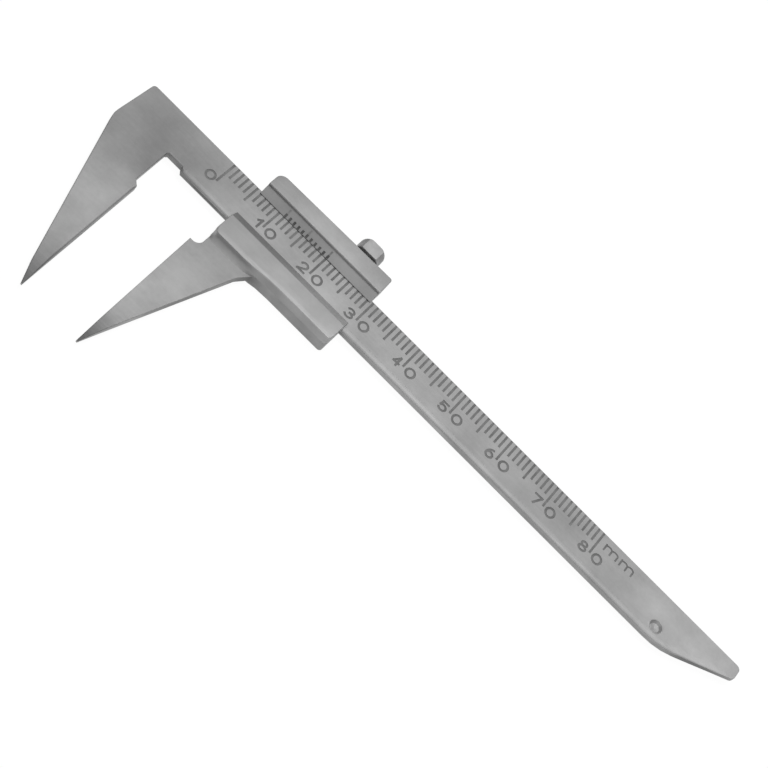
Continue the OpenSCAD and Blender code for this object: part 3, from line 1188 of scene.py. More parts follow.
    def edges(self, outline: Outline) -> tuple[Array, Array, Array]:
        """Roundings of the beam's edges, which differ from stretch to stretch.

        Args:
            outline: Outline of the beam.

        Returns:
            For each point of the outline the radius behind and in front, and how flat the front one is.
        """
        g = self.gauge
        x, y = outline.points.T
        bent = (x > self.bend_x - self.tail_bend_r) & (y < g.half_w - self.tail_end_w)
        lower = (np.abs(y - g.low_y) < WELD) | bent
        relief = (x > g.fixed_face_x - self.relief_w) & (x < 0) & (y > WELD - g.half_w) & (y < 0)
        measuring = (y < g.shoulder_y) & (x > g.fixed_face_x - WELD)
        kinds = [y > g.half_w - WELD, lower, relief, measuring]
        radii = [self.graduated_edge_r, self.low_edge_w, self.relief_edge_r, self.measuring_edge_r]
        tapered = np.clip((self.tail_x - x) / self.end_edge_run, self.end_edge_least, 1)
        spread = np.where(lower, tapered, 1.0)
        front = np.select(kinds, radii, self.edge_r) * spread
        slant = ramp(x, self.bend_x - self.slant_lead, self.slant_run)
        low_back = self.low_back_r + slant * (self.edge_r - self.low_back_r)
        rear = np.where(lower | relief, low_back, self.back_edge_r) * spread
        drop = self.low_edge_drop + slant * (self.slant_edge_drop - self.low_edge_drop)
        flattened = np.where(lower, drop / self.low_edge_w, 1.0)
        limit = g.edge_limit(y)
        return np.minimum(limit, rear), np.minimum(limit, front), flattened

    def warp(self, points: Array) -> Array:
        """Thins the fixed jaw's point from the front and the tail from behind.

        The tail's floor rises as a jaw's facet drops, and each point keeps its share of the height.

        Args:
            points: (N, 3) points of the flat beam.

        Returns:
            (N, 3) points of the thinned beam.
        """
        g = self.gauge
        slope = (g.beam_t - self.tail_end_t) / self.tail_slant_len
        past = points[:, 0] - self.bend_x
        floor = slope * (past + np.hypot(past, self.tail_blend)) / 2 * (past > -2 * self.tail_slant_len)
        top = g.beam_t - np.where(points[:, 0] < 0, g.facet_drop(points[:, 1], g.beam_t), 0)
        share = points[:, 2] / g.beam_t
        return np.column_stack([points[:, :2], floor + share * (top - floor)])

    def build_beam(self, finishes: Finishes) -> Piece:
        """Builds the beam: a rounded plate with filled lines and figures and the pin's hole.

        Args:
            finishes: Materials of its faces, its edges and the ink.

        Returns:
            The finished piece.
        """
        g, outline = self.gauge, self.outline()
        prism = Prism(outline, 0.0, g.beam_t, *self.edges(outline))
        shell = Shell()
        hole = Recess([add_bore(shell, *self.pin_place, self.pin_d / 2, 0.0, g.beam_t, self.pin_lead)], None)
        reach = self.bend_x - self.tail_net_lead, self.tail_x - self.tail_net_end
        along = np.arange(*reach, self.tail_net_step)
        tail_points = np.column_stack([axis.ravel() for axis in np.meshgrid(along, self.tail_net_y)])
        inner = np.vstack([g.jaw_points(g.fixed_face_x, -1), tail_points])
        lines = Recess(self.scale_shapes(), self.line_depth, Finish.INK)
        prism.add_to(shell, Finish.EDGE, Finish.FACE, [hole], [hole, lines], inner)
        return Piece(shell.build("graduated_beam", finishes, self.warp), "beam", "beam", "beam_steel")

    def build_pin(self, finishes: Finishes) -> Piece:
        """Builds the stop pin: a turned pin, dished at the front with a centre mark, proud at the back.

        Args:
            finishes: Material of the whole pin.

        Returns:
            The finished piece.
        """
        radius, front, lead = self.pin_d / 2, self.gauge.beam_t, self.pin_lead
        back, round_r = self.gauge.back_z + self.pin_back_gap, self.pin_back_r
        rim, proud = radius - self.pin_rim, radius - self.pin_back_step
        profile = np.vstack(
            [
                line((0, back), (proud - round_r, back)),
                arc(proud - round_r, back + round_r, round_r, round_r, -90, 0),
                np.column_stack([(proud, radius), self.pin_step_z]),
                line((radius, front - lead), (radius - lead, front), (rim, front)),
                (rim, front) - line(*self.pin_wall),
                (0, front) + line(*self.pin_mark) * (1, -1),
            ]
        )
        shell = Shell()
        add_turned(shell, profile, (*self.pin_place, 0.0), Axes.PLATE, Finish.FACE)
        return Piece(shell.build("sunk_stop_pin", finishes), "beam", "stop_pin", "pin_steel")


@dataclass
class Slider:
    """Riveted slider: back plate, moving jaw, two rails and the rivets."""

    gauge: Gauge
    lower_rail_w: float = 4.6
    lower_step: float = 0.55
    step_run: float = 3.6
    step_from_face: float = 10.95
    step_stations: int = 13
    # The lower rail stops following its step this far above its outer face, after a fade of this length
    step_fade: tuple[float, float] = (1.2, 0.8)
    # Corners of the plates' lower edge: distance from the measuring face, drop and radius
    root: tuple[tuple[float, float, float], ...] = (
        (9.05, 2.8, 2.0),
        (10.5, 0.4, 0.5),
        (11.85, 0.13, 0.0),
        (14.2, 0.0, 0.0),
    )
    notch_r: float = 1.3
    notch_undercut: float = 0.12
    shoulder_up: float = 0.2
    vernier_lip: float = 0.6
    vernier_bevel_w: float = 1.3
    crest_step: float = 0.58
    lower_lip: float = 1.65
    lower_bevel_w: float = 2.45
    lip_edge_t: float = 0.12
    lead_corner_r: float = 1.4
    low_lead_r: float = 0.8
    outer_drop: float = 0.16
    outer_taper: float = 0.42
    # Distances from the crest and from the outer face between which the upper rail's taper fades in
    outer_fade: tuple[float, float] = (0.4, 0.5)
    end_corner_r: float = 0.5
    low_end_r: float = 0.6
    corner_steps: int = 7
    pad_reach: float = 4.5
    rivet_d: float = 1.2
    rivet_end: float = 2.6
    rivet_edge: float = 1.9
    rivet_cover: float = 0.7
    rivet_lead: float = 0.06
    rivet_play: float = 0.01
    edge_r: float = 0.1
    seam_r: float = 0.01
    back_edge_r: float = 0.15
    soft_w: float = 0.6
    soft_drop: float = 0.15
    cove_r: float = 1.25
    cove_turn: float = 62.0
    cove_x: tuple[float, float] = (13.0, 15.0)
    upper_outer_r: float = 0.2
    crest_r: float = 0.25
    lip_r: float = 0.02
    # Radius of the rails' end edges, its share of the height at the thin lip and its least value
    end_edge_r: float = 0.08
    end_edge_share: float = 0.35
    end_edge_least: float = 0.002
    line_w: float = 0.3
    line_foot_w: float = 0.4
    line_depth: float = 0.06
    vernier_div: int = 10
    vernier_fifth: int = 5
    vernier_short: float = 0.6
    vernier_long: float = 1.4
    vernier_start: float = 0.01

    @property
    def bottom(self) -> float:
        """Outer face of the lower rail past the moving jaw."""
        return -self.gauge.half_w - self.lower_rail_w

    @property
    def step_bottom(self) -> float:
        """Outer face of the lower rail along the moving jaw's root."""
        return self.bottom - self.lower_step

    @property
    def step_x(self) -> float:
        """Middle of the step in the lower rail's outer face."""
        return self.gauge.moving_face_x + self.step_from_face

    @property
    def root_corners(self) -> list[tuple[float, float, float]]:
        """Corners of the plates' lower edge, from the moving jaw's root to the straight stretch."""
        return [(self.gauge.moving_face_x + x, self.bottom - y, radius) for x, y, radius in self.root]

    @property
    def upper_crest_y(self) -> float:
        """Crest of the vernier's bevel."""
        return self.gauge.half_w - self.vernier_lip + self.vernier_bevel_w

    @property
    def rivet_top_z(self) -> float:
        """Height of the rivets' blind ends."""
        return self.gauge.rail_top_z - self.rivet_cover

    def rivet_row(self, y: float) -> list[tuple[float, float]]:
        """Centres of the three rivets of one rail, at a height y."""
        first, last = self.gauge.slider_x + self.rivet_end, self.gauge.slider_end - self.rivet_end
        return [(first, y), ((first + last) / 2, y), (last, y)]

    @property
    def upper_rivets(self) -> list[tuple[float, float]]:
        """Centres of the upper rail's rivets."""
        return self.rivet_row(self.gauge.slider_top - self.rivet_edge)

    @property
    def lower_rivets(self) -> list[tuple[float, float]]:
        """Centres of the lower rail's rivets."""
        return self.rivet_row(self.bottom + self.rivet_edge)

    def bored(self, shell: Shell, places: Sequence[tuple[float, float]], low: float, high: float) -> Recess:
        """Adds the walls of rivet holes through a plate, and gives the mouths to be cut from its faces."""
        radius, lead = self.rivet_d / 2, self.rivet_lead
        return Recess([add_bore(shell, *place, radius, low, high, lead) for place in places], None)

    def build_back_plate(self, finishes: Finishes) -> Piece:
        """Builds the plate behind the beam, with six rivet holes.

        Args:
            finishes: Materials of its faces and its edges.

        Returns:
            The finished piece.
        """
        g = self.gauge
        outline = rounded(
            [
                (g.slider_x, g.slider_top - self.outer_drop, self.lead_corner_r),
                (g.slider_x, self.step_bottom, self.low_lead_r),
                (self.step_x - self.step_run / 2, self.step_bottom, 0),
                *self.root_corners[1:],
                (g.slider_end, self.bottom, self.low_end_r),
                (g.slider_end, g.slider_top - self.outer_drop + self.outer_taper, self.end_corner_r),
            ]
        )
        prism = Prism(outline, g.back_z, g.channel_z, self.back_edge_r, self.seam_r)
        shell = Shell()
        holes = [self.bored(shell, self.upper_rivets + self.lower_rivets, g.back_z, g.channel_z)]
        prism.add_to(shell, Finish.EDGE, Finish.FACE, holes, holes)
        return Piece(shell.build("slider_back", finishes), "slider", "back_plate", "slider_steel")

    def ground_point(self, points: Array) -> Array:
        """Thins the moving jaw's point from the front, where each point keeps its share of the thickness.

        Args:
            points: (N, 3) points of the flat jaw.

        Returns:
            (N, 3) points of the ground jaw.
        """
        g = self.gauge
        share = (points[:, 2] - g.channel_z) / (g.jaw_face_z - g.channel_z)
        return points - np.outer(share * g.facet_drop(points[:, 1], g.jaw_face_z), (0, 0, 1))

    def build_moving_jaw(self, finishes: Finishes) -> Piece:
        """Builds the moving jaw: a plate with a notch, a root fillet and a ground point.

        Args:
            finishes: Materials of its faces and its edges.

        Returns:
            The finished piece.
        """
        g = self.gauge
        tip_x = g.moving_face_x + g.lean_shift(g.tip_y)
        guide_y, shoulder_y = g.low_y - g.slide_clear, g.shoulder_y + self.shoulder_up
        corners = [
            (g.slider_x, guide_y, 0),
            (g.slider_x + self.notch_undercut, shoulder_y - self.notch_undercut, self.notch_r),
            (g.moving_face_x, shoulder_y, 0),
            (tip_x, g.tip_y, 0),
            (tip_x + g.tip_w, g.tip_y, 0),
            *self.root_corners,
            (g.slider_end, self.bottom, self.low_end_r),
            (g.slider_end, guide_y, 0),
        ]
        outline = rounded(corners, PLATE_STEP)
        y = outline.points[:, 1]
        free = np.clip((self.step_bottom - y) / self.edge_r, self.seam_r / self.edge_r, 1)
        edges = [np.minimum(g.edge_limit(y), free * radius) for radius in (self.back_edge_r, self.edge_r)]
        prism = Prism(outline, g.channel_z, g.jaw_face_z, *edges)
        shell = Shell()
        holes = [self.bored(shell, self.lower_rivets, g.channel_z, g.jaw_face_z)]
        prism.add_to(shell, Finish.EDGE, Finish.FACE, holes, holes, g.jaw_points(g.moving_face_x, 1))
        jaw = shell.build("pointed_moving_jaw", finishes, self.ground_point)
        return Piece(jaw, "slider", "moving_jaw", "jaw_steel")

    def corner_stations(self, radius: float) -> Array:
        """Distances from a rail's end, rising, that follow a rounded corner past the end's own edge."""
        start = math.acos(1 - 2 * self.end_edge_r / radius)
        return radius * (1 - np.cos(np.linspace(start, math.pi / 2, self.corner_steps)))

    def rail(self, outline: Outline, lead_r: float, middle: Sequence[float], end_r: float) -> Prism:
        """Bar along the slider, with end edges that are soft where they show and tight at lip and seam.

        Args:
            outline: Its outline across X.
            lead_r: Radius of its outer corner towards the jaws.
            middle: Stations between its corners.
            end_r: Radius of its outer corner towards the tail.

        Returns:
            The bar, with stations that follow both corners.
        """
        g = self.gauge
        lead, end = self.corner_stations(lead_r), self.corner_stations(end_r)[::-1]
        stations = np.concatenate([g.slider_x + lead, middle, g.slider_end - end])
        above = outline.points[:, 1] - g.jaw_face_z
        edges = np.clip(self.end_edge_share * above, self.end_edge_least, self.end_edge_r)
        return Prism(outline, g.slider_x, g.slider_end, edges, edges, 1.0, stations, Axes.BAR)

    def rivet_holes(self, places: Sequence[tuple[float, float]], start_y: float, depth: float) -> Recess:
        """Blind rivet holes in a rail's underside, as shapes in the plane of that strip."""
        return Recess([circle(y - start_y, x, self.rivet_d / 2) for x, y in places], depth)

    def lower_warp(self, points: Array) -> Array:
        """Shapes the lower rail along X: its step and cove end smoothly, and its outer corners are round.

        Args:
            points: (N, 3) points of the straight bar.

        Returns:
            (N, 3) points, moved along Y by the smooth cubic of the step and the fall of both corners.
        """
        g, (x, y) = self.gauge, points[:, :2].T
        step = self.lower_step * smooth(ramp(x, self.step_x - self.step_run, 2 * self.step_run))
        corners = corner_fall(x - g.slider_x, self.low_lead_r) + corner_fall(g.slider_end - x, self.low_end_r)
        fade = ramp(y, self.bottom + self.step_fade[0], -self.step_fade[1])
        drawn_in = smooth(ramp(x, self.cove_x[0], self.cove_x[1] - self.cove_x[0]))
        cove = np.maximum(self.step_bottom - y, 0) * drawn_in
        return points + np.outer((step + corners) * fade + cove, (0, 1, 0))

    def build_lower_rail(self, finishes: Finishes) -> Piece:
        """Builds the bar in front of the moving jaw: a cove at its foot and a soft step past the jaw's root.

        Args:
            finishes: Materials of its faces, its walls, the ink and its slope.

        Returns:
            The finished piece.
        """
        g = self.gauge
        lip_y = -g.half_w + self.lower_lip
        cove_z = g.jaw_face_z + self.cove_r * math.sin(math.radians(self.cove_turn))
        cove = arc(self.step_bottom - self.cove_r, cove_z, self.cove_r, self.cove_r, 0, -self.cove_turn)
        foot_y = cove[-1, 0]
        outline = rounded(
            [
                (foot_y, g.jaw_face_z, 0),
                (lip_y, g.jaw_face_z, 0),
                (lip_y, g.jaw_face_z + self.lip_edge_t, self.lip_r),
                (lip_y - self.lower_bevel_w, g.rail_top_z, self.crest_r),
                (self.step_bottom + self.soft_w, g.rail_top_z, 2 * self.soft_w),
                (self.step_bottom, g.rail_top_z - self.soft_drop, self.soft_drop),
                *((y, z, 0) for y, z in cove[:-1].tolist()),
            ]
        )
        middle = np.linspace(self.step_x - self.step_run, self.step_x + self.step_run, self.step_stations)
        prism = self.rail(outline, self.low_lead_r, middle, self.low_end_r)
        last = len(prism.stations) - 1
        # Sides after the foot, after the lip's edge and after the soft outer corner
        under, slope, outer = (outline.side_after(corner) for corner in (0, 2, 5))
        underside = Strip(under, 0, last)
        walls = [(slope, Finish.FACET)] + [(side, Finish.EDGE) for side in range(outer, len(outline.points))]
        dressed = [(Strip(side, -1, last + 1), kind) for side, kind in walls]
        shell = Shell()
        prism.add_to(shell, Finish.FACE, Finish.EDGE, open_strips=[underside], dressed=dressed)
        holes = self.rivet_holes(self.lower_rivets, foot_y, self.rivet_top_z - g.jaw_face_z)
        prism.add_strip(shell, underside, Finish.EDGE, [holes])
        bar = shell.build("lower_rail_bar", finishes, self.lower_warp)
        return Piece(bar, "slider", "lower_rail", "slider_steel")

    def vernier_marks(self, foot: float) -> list[Recess]:
        """Lines of the vernier: nine tenths of a millimetre apart, with a long worn one at each fifth.

        Args:
            foot: Distance of the lines' lower ends from the bevel's crest.

        Returns:
            The lines' dark feet and the worn upper ends, in the plane of the bevel.
        """
        g = self.gauge
        pitch = (self.vernier_div - 1) / self.vernier_div
        places = g.moving_face_x + g.zero_offset + pitch * np.arange(self.vernier_div + 1)
        joint, top = foot - self.vernier_short, foot - self.vernier_long
        half_foot, half = self.line_foot_w / 2, self.line_w / 2
        feet = [box(joint, x - half_foot, foot, x + half_foot) for x in places]
        worn = [box(top, x - half, joint, x + half) for x in places[:: self.vernier_fifth]]
        return [Recess(feet, self.line_depth, Finish.INK), Recess(worn, self.line_depth, Finish.WORN)]

    def upper_warp(self, points: Array) -> Array:
        """Rounds both corners of the upper rail's outer face, and lets it run out slightly to the tail.

        Args:
            points: (N, 3) points of the straight bar.

        Returns:
            (N, 3) points, moved along Y by the taper less the fall of both corners.
        """
        g = self.gauge
        inner, outer = self.upper_crest_y + self.outer_fade[0], g.slider_top - self.outer_fade[1]
        fade = ramp(points[:, 1], inner, outer - inner)
        along = points[:, 0] - g.slider_x
        fall = corner_fall(along, self.lead_corner_r) + corner_fall(g.slider_len - along, self.end_corner_r)
        run = self.outer_taper * along / g.slider_len - self.outer_drop
        return points + np.outer((run - fall) * fade, (0, 1, 0))

    def build_vernier_rail(self, finishes: Finishes) -> Piece:
        """Builds the bar above the beam: bevelled vernier, screw hole, pad pocket and rivet holes.

        Args:
            finishes: Materials of its faces, its walls, the ink, its bevel and the worn ink.

        Returns:
            The finished piece.
        """
        g = self.gauge
        lip_y, guide_y, crest_y = g.half_w - self.vernier_lip, g.half_w + g.slide_clear, self.upper_crest_y
        outline = rounded(
            [
                (guide_y, g.channel_z, 0),
                (g.slider_top, g.channel_z, 0),
                (g.slider_top, g.rail_top_z, self.upper_outer_r),
                (crest_y, g.rail_top_z, self.crest_r),
                (crest_y, g.rail_top_z - self.crest_step, self.crest_r),
                (lip_y, g.jaw_face_z + self.lip_edge_t, self.lip_r),
                (lip_y, g.jaw_face_z, 0),
                (guide_y, g.jaw_face_z, 0),
            ]
        )
        middle = (g.screw_x - self.pad_reach, g.screw_x + self.pad_reach)
        prism = self.rail(outline, self.lead_corner_r, middle, self.end_corner_r)
        # The first middle station follows those of the first corner
        last, clamp = len(prism.stations) - 1, self.corner_steps
        # Sides after the foot, after the outer foot, after the crest's step and after the lip
        under, out, slope, guiding = (outline.side_after(corner) for corner in (0, 1, 4, 7))
        underside, bevel = Strip(under, 0, last), Strip(slope, 0, last)
        outer, guide = Strip(out, clamp, clamp + 1), Strip(guiding, clamp, clamp + 1)
        walls = ((out, Finish.EDGE), (slope, Finish.FACET))
        dressed = [(Strip(side, -1, last + 1), kind) for side, kind in walls]
        opened = [underside, outer, bevel, guide]
        shell = Shell()
        prism.add_to(shell, Finish.FACE, Finish.EDGE, open_strips=opened, dressed=dressed)
        rivets = self.rivet_holes(self.upper_rivets, guide_y, self.rivet_top_z - g.channel_z)
        prism.add_strip(shell, underside, Finish.EDGE, [rivets])
        hole_y = g.pad_back_y + g.pad_room
        bore = circle(g.screw_z - g.channel_z, g.screw_x, g.screw_d / 2 + g.screw_clear)
        prism.add_strip(shell, outer, Finish.EDGE, [Recess([bore], g.slider_top - hole_y - g.pad_room)])
        bevel_w = np.linalg.norm(outline.points[slope + 1] - outline.points[slope])
        prism.add_strip(shell, bevel, Finish.FACET, self.vernier_marks(bevel_w - self.vernier_start))
        pocket_x = [g.screw_x + side * (g.pad_len / 2 + g.pad_room) for side in (-1, 1)]
        pocket = box(g.jaw_face_z - g.beam_t, pocket_x[0], g.jaw_face_z, pocket_x[1])
        prism.add_strip(shell, guide, Finish.EDGE, [Recess([pocket], hole_y - guide_y)])
        bar = shell.build("vernier_bar", finishes, self.upper_warp)
        return Piece(bar, "slider", "vernier_rail", "slider_steel")

    def build_rivets(self, finishes: Finishes) -> Piece:
        """Builds six flush rivets with a fine lead round both ends.

        Args:
            finishes: Material of the rivets.

        Returns:
            The finished piece.
        """
        radius, lead = self.rivet_d / 2 - self.rivet_play, self.rivet_lead
        back, top = self.gauge.back_z, self.rivet_top_z - self.rivet_play
        low_end = line((0, back), (radius - lead, back), (radius, back + lead))
        high_end = line((radius, top - lead), (radius - lead, top), (0, top))
        shell = Shell()
        for x, y in self.upper_rivets + self.lower_rivets:
            add_turned(shell, np.vstack([low_end, high_end]), (x, y, 0.0), Axes.PLATE, Finish.FACE)
        return Piece(shell.build("flush_rivets", finishes), "slider", "rail_rivets", "rivet_steel")


@dataclass
class Clamp:
    """Clamp screw and the brass pad that it presses against the beam's edge."""

    gauge: Gauge
    head_d: float = 4.64
    head_h: float = 2.58
    # Distance of the two flats from the screw's axis
    head_flat: float = 1.8
    head_gap: float = 0.1
    head_edge_r: float = 0.42
    under_edge_r: float = 0.15
    head_out: float = 0.2
    slot_w: float = 0.6
    slot_depth: float = 0.8
    # How far the cutter of slot and flats stands out of the head
    cutter_out: float = 1.0
    shank_end_r: float = 0.15
    pad_edge_r: float = 0.06

    @property
    def under_y(self) -> float:
        """Underside of the screw's head."""
        return self.gauge.slider_top + self.gauge.pad_gap + self.head_gap + self.head_out

    @property
    def top_y(self) -> float:
        """Top of the screw's head."""
        return self.under_y + self.head_h

    def head_cutter(self, finishes: Finishes) -> bpy.types.Object:
        """Builds what is cut from the head: a block for the slot and one outside each flat.

        Args:
            finishes: Material that the cut faces take.

        Returns:
            The three blocks as one object.
        """
        g, wide, top = self.gauge, self.head_d, self.top_y + self.cutter_out
        slot_foot, flat_foot = self.top_y - self.slot_depth, self.under_y - self.under_edge_r
        blocks = (
            (-self.slot_w / 2, self.slot_w / 2, slot_foot),
            (self.head_flat, wide, flat_foot),
            (-wide, -self.head_flat, flat_foot),
        )
        # Corners of a block's two end faces, which its two rings leave open
        ends = np.array([[0, 1, 2, 3], [7, 6, 5, 4]])
        saw = Shell()
        for low, high, foot in blocks:
            ring = box(g.screw_x - wide, g.screw_z + low, g.screw_x + wide, g.screw_z + high)
            rows = np.stack([np.insert(ring, 1, y, axis=1) for y in (foot, top)])
            saw.grid(rows, Finish.FACE, inwards=True)
            saw.add(rows.reshape(-1, 3), ends, Finish.FACE)
        return saw.build("head_cutter", finishes)

    def build_screw(self, finishes: Finishes) -> Piece:
        """Builds the cheese-head screw as a turned solid, saws its slot and mills two flats on its head.

        Args:
            finishes: Material of the whole screw.

        Returns:
            The finished piece.
        """
        g, under, top = self.gauge, self.under_y, self.top_y
        edge_r, under_r = self.head_edge_r, self.under_edge_r
        shank_y = g.pad_back_y + g.screw_point_len
        radius, shank = self.head_d / 2, g.screw_d / 2
        profile = np.vstack(
            [
                line((0, shank_y), (shank - self.shank_end_r, shank_y), (shank, shank_y + self.shank_end_r)),
                line((shank, under), (radius - under_r, under)),
                arc(radius - under_r, under + under_r, under_r, under_r, -90, 0),
                arc(radius - edge_r, top - edge_r, edge_r, edge_r, 0, 90),
                line((radius - edge_r - EDGE_BAND, top), (0, top)),
            ]
        )
        shell = Shell()
        add_turned(shell, profile, (g.screw_x, 0.0, g.screw_z), Axes.CROSS, Finish.FACE)
        screw = shell.build("cheese_head_screw", finishes)
        cutter = self.head_cutter(finishes)
        cut = screw.modifiers.new("slot_and_flats", "BOOLEAN")
        cut.operation, cut.solver, cut.object = "DIFFERENCE", "EXACT", cutter
        milled = screw.evaluated_get(bpy.context.evaluated_depsgraph_get())
        screw.data = bpy.data.meshes.new_from_object(milled)
        screw.modifiers.clear()
        screw.data.set_sharp_from_angle(angle=SHARP)
        bpy.data.objects.remove(cutter)
        return Piece(screw, "screw", "clamp_screw", "screw_steel")

    def build_pad(self, finishes: Finishes) -> Piece:
        """Builds the pad: a small brass bar with its edges broken.

        Args:
            finishes: Material of the whole pad.

        Returns:
            The finished piece.
        """
        g = self.gauge
        ring = box(g.screw_x - g.pad_len / 2, g.half_w + g.pad_gap, g.screw_x + g.pad_len / 2, g.pad_back_y)
        outline = rounded([(x, y, 0) for x, y in ring])
        prism = Prism(outline, g.pad_room, g.beam_t - g.pad_room, self.pad_edge_r, self.pad_edge_r)
        shell = Shell()
        prism.add_to(shell, Finish.FACE, Finish.FACE)
        return Piece(shell.build("brass_pad", finishes), "pad", "clamp_pad", "pad_brass")


@dataclass(frozen=True)
class Studio:
    """Camera, floor and soft light of the picture."""

    aim: tuple[float, float, float] = (39.85, -5.95, 1.3)
    distance: float = 322.0
    tilt: float = math.radians(40.0)
    roll: float = math.radians(44.92)
    focal_px: float = 2141.4
    image_px: int = 768
    sensor_mm: float = 36.0
    # Nearest and farthest that the camera sees, in metres
    clip: tuple[float, float] = (0.01, 50.0)
    floor_z: float = -0.79
    floor_size: float = 6000.0
    # Share of the floor's colour that glows, and the strength of that glow
    floor_glow: float = 0.92
    floor_white: float = 1.03
    # Levels of the tent in front, behind and overhead, and the share that is left at both sides
    sky_front: float = 0.95
    sky_back: float = 0.8
    sky_top: float = 0.42
    sky_sides: float = 0.25
    # Parts of a direction's height and of its sideways turn over which those levels come in
    sky_rise: tuple[float, float] = (0.1, 1.0)
    sky_turn: tuple[float, float] = (0.35, 0.85)
    lamp_size: float = 500.0
    lamp_place: tuple[float, float, float] = (40.0, 130.0, 800.0)
    lamp_energy: float = 3.0

    def camera(self) -> None:
        """Places the camera: tilted from the front face's normal and rolled along the beam."""
        back = np.array([0, -math.sin(self.tilt), math.cos(self.tilt)])
        across = np.array([0, math.cos(self.tilt), math.sin(self.tilt)])
        along = np.array([1.0, 0, 0])
        right = math.cos(self.roll) * along + math.sin(self.roll) * across
        up = -math.sin(self.roll) * along + math.cos(self.roll) * across
        data = bpy.data.cameras.new("photo_camera")
        data.sensor_width = self.sensor_mm
        data.lens = self.focal_px / self.image_px * self.sensor_mm
        data.clip_start, data.clip_end = self.clip
        camera = bpy.data.objects.new("photo_camera", data)
        turn = Matrix(np.column_stack([right, up, back]).tolist()).to_4x4()
        place = Vector(((np.array(self.aim) + self.distance * back) * MM).tolist())
        camera.matrix_world = Matrix.Translation(place) @ turn
        bpy.context.scene.collection.objects.link(camera)
        bpy.context.scene.camera = camera

    def floor(self) -> None:
        """Lays the pale floor: white paper that glows to the eye and to metal, but keeps shadows."""
        size = self.floor_size * MM / 2
        corners = box(-size, -size, size, size)
        mesh = bpy.data.meshes.new("paper_floor")
        mesh.from_pydata([(x, y, self.floor_z * MM) for x, y in corners.tolist()], [], [(0, 1, 2, 3)])
        material = bpy.data.materials.new("white_paper")
        material.use_nodes = True
        tree = material.node_tree
        tree.nodes.clear()
        ray = add_node(tree, "ShaderNodeLightPath").outputs
        through = {0: ray["Is Glossy Ray"], 1: ray["Is Transmission Ray"]}
        metal = add_node(tree, "ShaderNodeMath", through, operation="MAXIMUM")
        seen = add_node(tree, "ShaderNodeMath", {0: ray["Is Camera Ray"], 1: metal}, operation="MAXIMUM")
        share = add_node(tree, "ShaderNodeMath", {0: seen, 1: self.floor_glow}, operation="MULTIPLY")
        paper = add_node(tree, "ShaderNodeBsdfDiffuse", {"Color": linear("#FDFDFD")})
        white = {"Color": linear("#FFFFFF"), "Strength": self.floor_white}
        glow = add_node(tree, "ShaderNodeEmission", white)
        mixed = add_node(tree, "ShaderNodeMixShader", {0: share, 1: paper, 2: glow})
        clear = add_node(tree, "ShaderNodeBsdfTransparent")
        under = add_node(tree, "ShaderNodeNewGeometry").outputs["Backfacing"]
        shown = add_node(tree, "ShaderNodeMixShader", {0: under, 1: mixed, 2: clear})
        add_node(tree, "ShaderNodeOutputMaterial", {"Surface": shown})
        mesh.materials.append(material)
        floor = bpy.data.objects.new("paper_floor", mesh)
        bpy.context.scene.collection.objects.link(floor)

    def light(self) -> None:
        """Hangs a light tent, dimmer behind, overhead and at both sides, and one wide soft lamp."""
        world = bpy.data.worlds.new("light_tent")
        bpy.context.scene.world = world
        world.use_nodes = True
        tree = world.node_tree
        tree.nodes.clear()
        towards = add_node(tree, "ShaderNodeTexCoord").outputs["Generated"]
        apart = add_node(tree, "ShaderNodeSeparateXYZ", {"Vector": towards}).outputs
        ahead = {"Value": apart["Y"], "From Min": -1.0, "To Min": self.sky_front, "To Max": self.sky_back}
        depth = add_node(tree, "ShaderNodeMapRange", ahead, interpolation_type="SMOOTHSTEP")
        rise = {"Value": apart["Z"], "From Min": self.sky_rise[0], "From Max": self.sky_rise[1]}
        height = add_node(tree, "ShaderNodeMapRange", rise)
        gap = add_node(tree, "ShaderNodeMath", {0: self.sky_top, 1: depth}, operation="SUBTRACT")
        level = add_node(tree, "ShaderNodeMath", {0: gap, 1: height, 2: depth}, operation="MULTIPLY_ADD")
        aside = add_node(tree, "ShaderNodeMath", {0: apart["X"]}, operation="ABSOLUTE")
        turn = {"Value": aside, "From Min": self.sky_turn[0], "From Max": self.sky_turn[1]}
        dimmed = {**turn, "To Min": 1.0, "To Max": self.sky_sides}
        sides = add_node(tree, "ShaderNodeMapRange", dimmed, interpolation_type="SMOOTHSTEP")
        shaded = add_node(tree, "ShaderNodeMath", {0: level, 1: sides}, operation="MULTIPLY")
        tent = add_node(tree, "ShaderNodeBackground", {"Color": linear("#FFFFFF"), "Strength": shaded})
        add_node(tree, "ShaderNodeOutputWorld", {"Surface": tent})
        data = bpy.data.lights.new("soft_lamp", "AREA")
        data.shape, data.size = "DISK", self.lamp_size * MM
        data.energy = self.lamp_energy
        lamp = bpy.data.objects.new("soft_lamp", data)
        place = Vector(self.lamp_place) * MM
        facing = (place - Vector(self.aim) * MM).to_track_quat("Z", "Y").to_matrix().to_4x4()
        lamp.matrix_world = Matrix.Translation(place) @ facing
        bpy.context.scene.collection.objects.link(lamp)


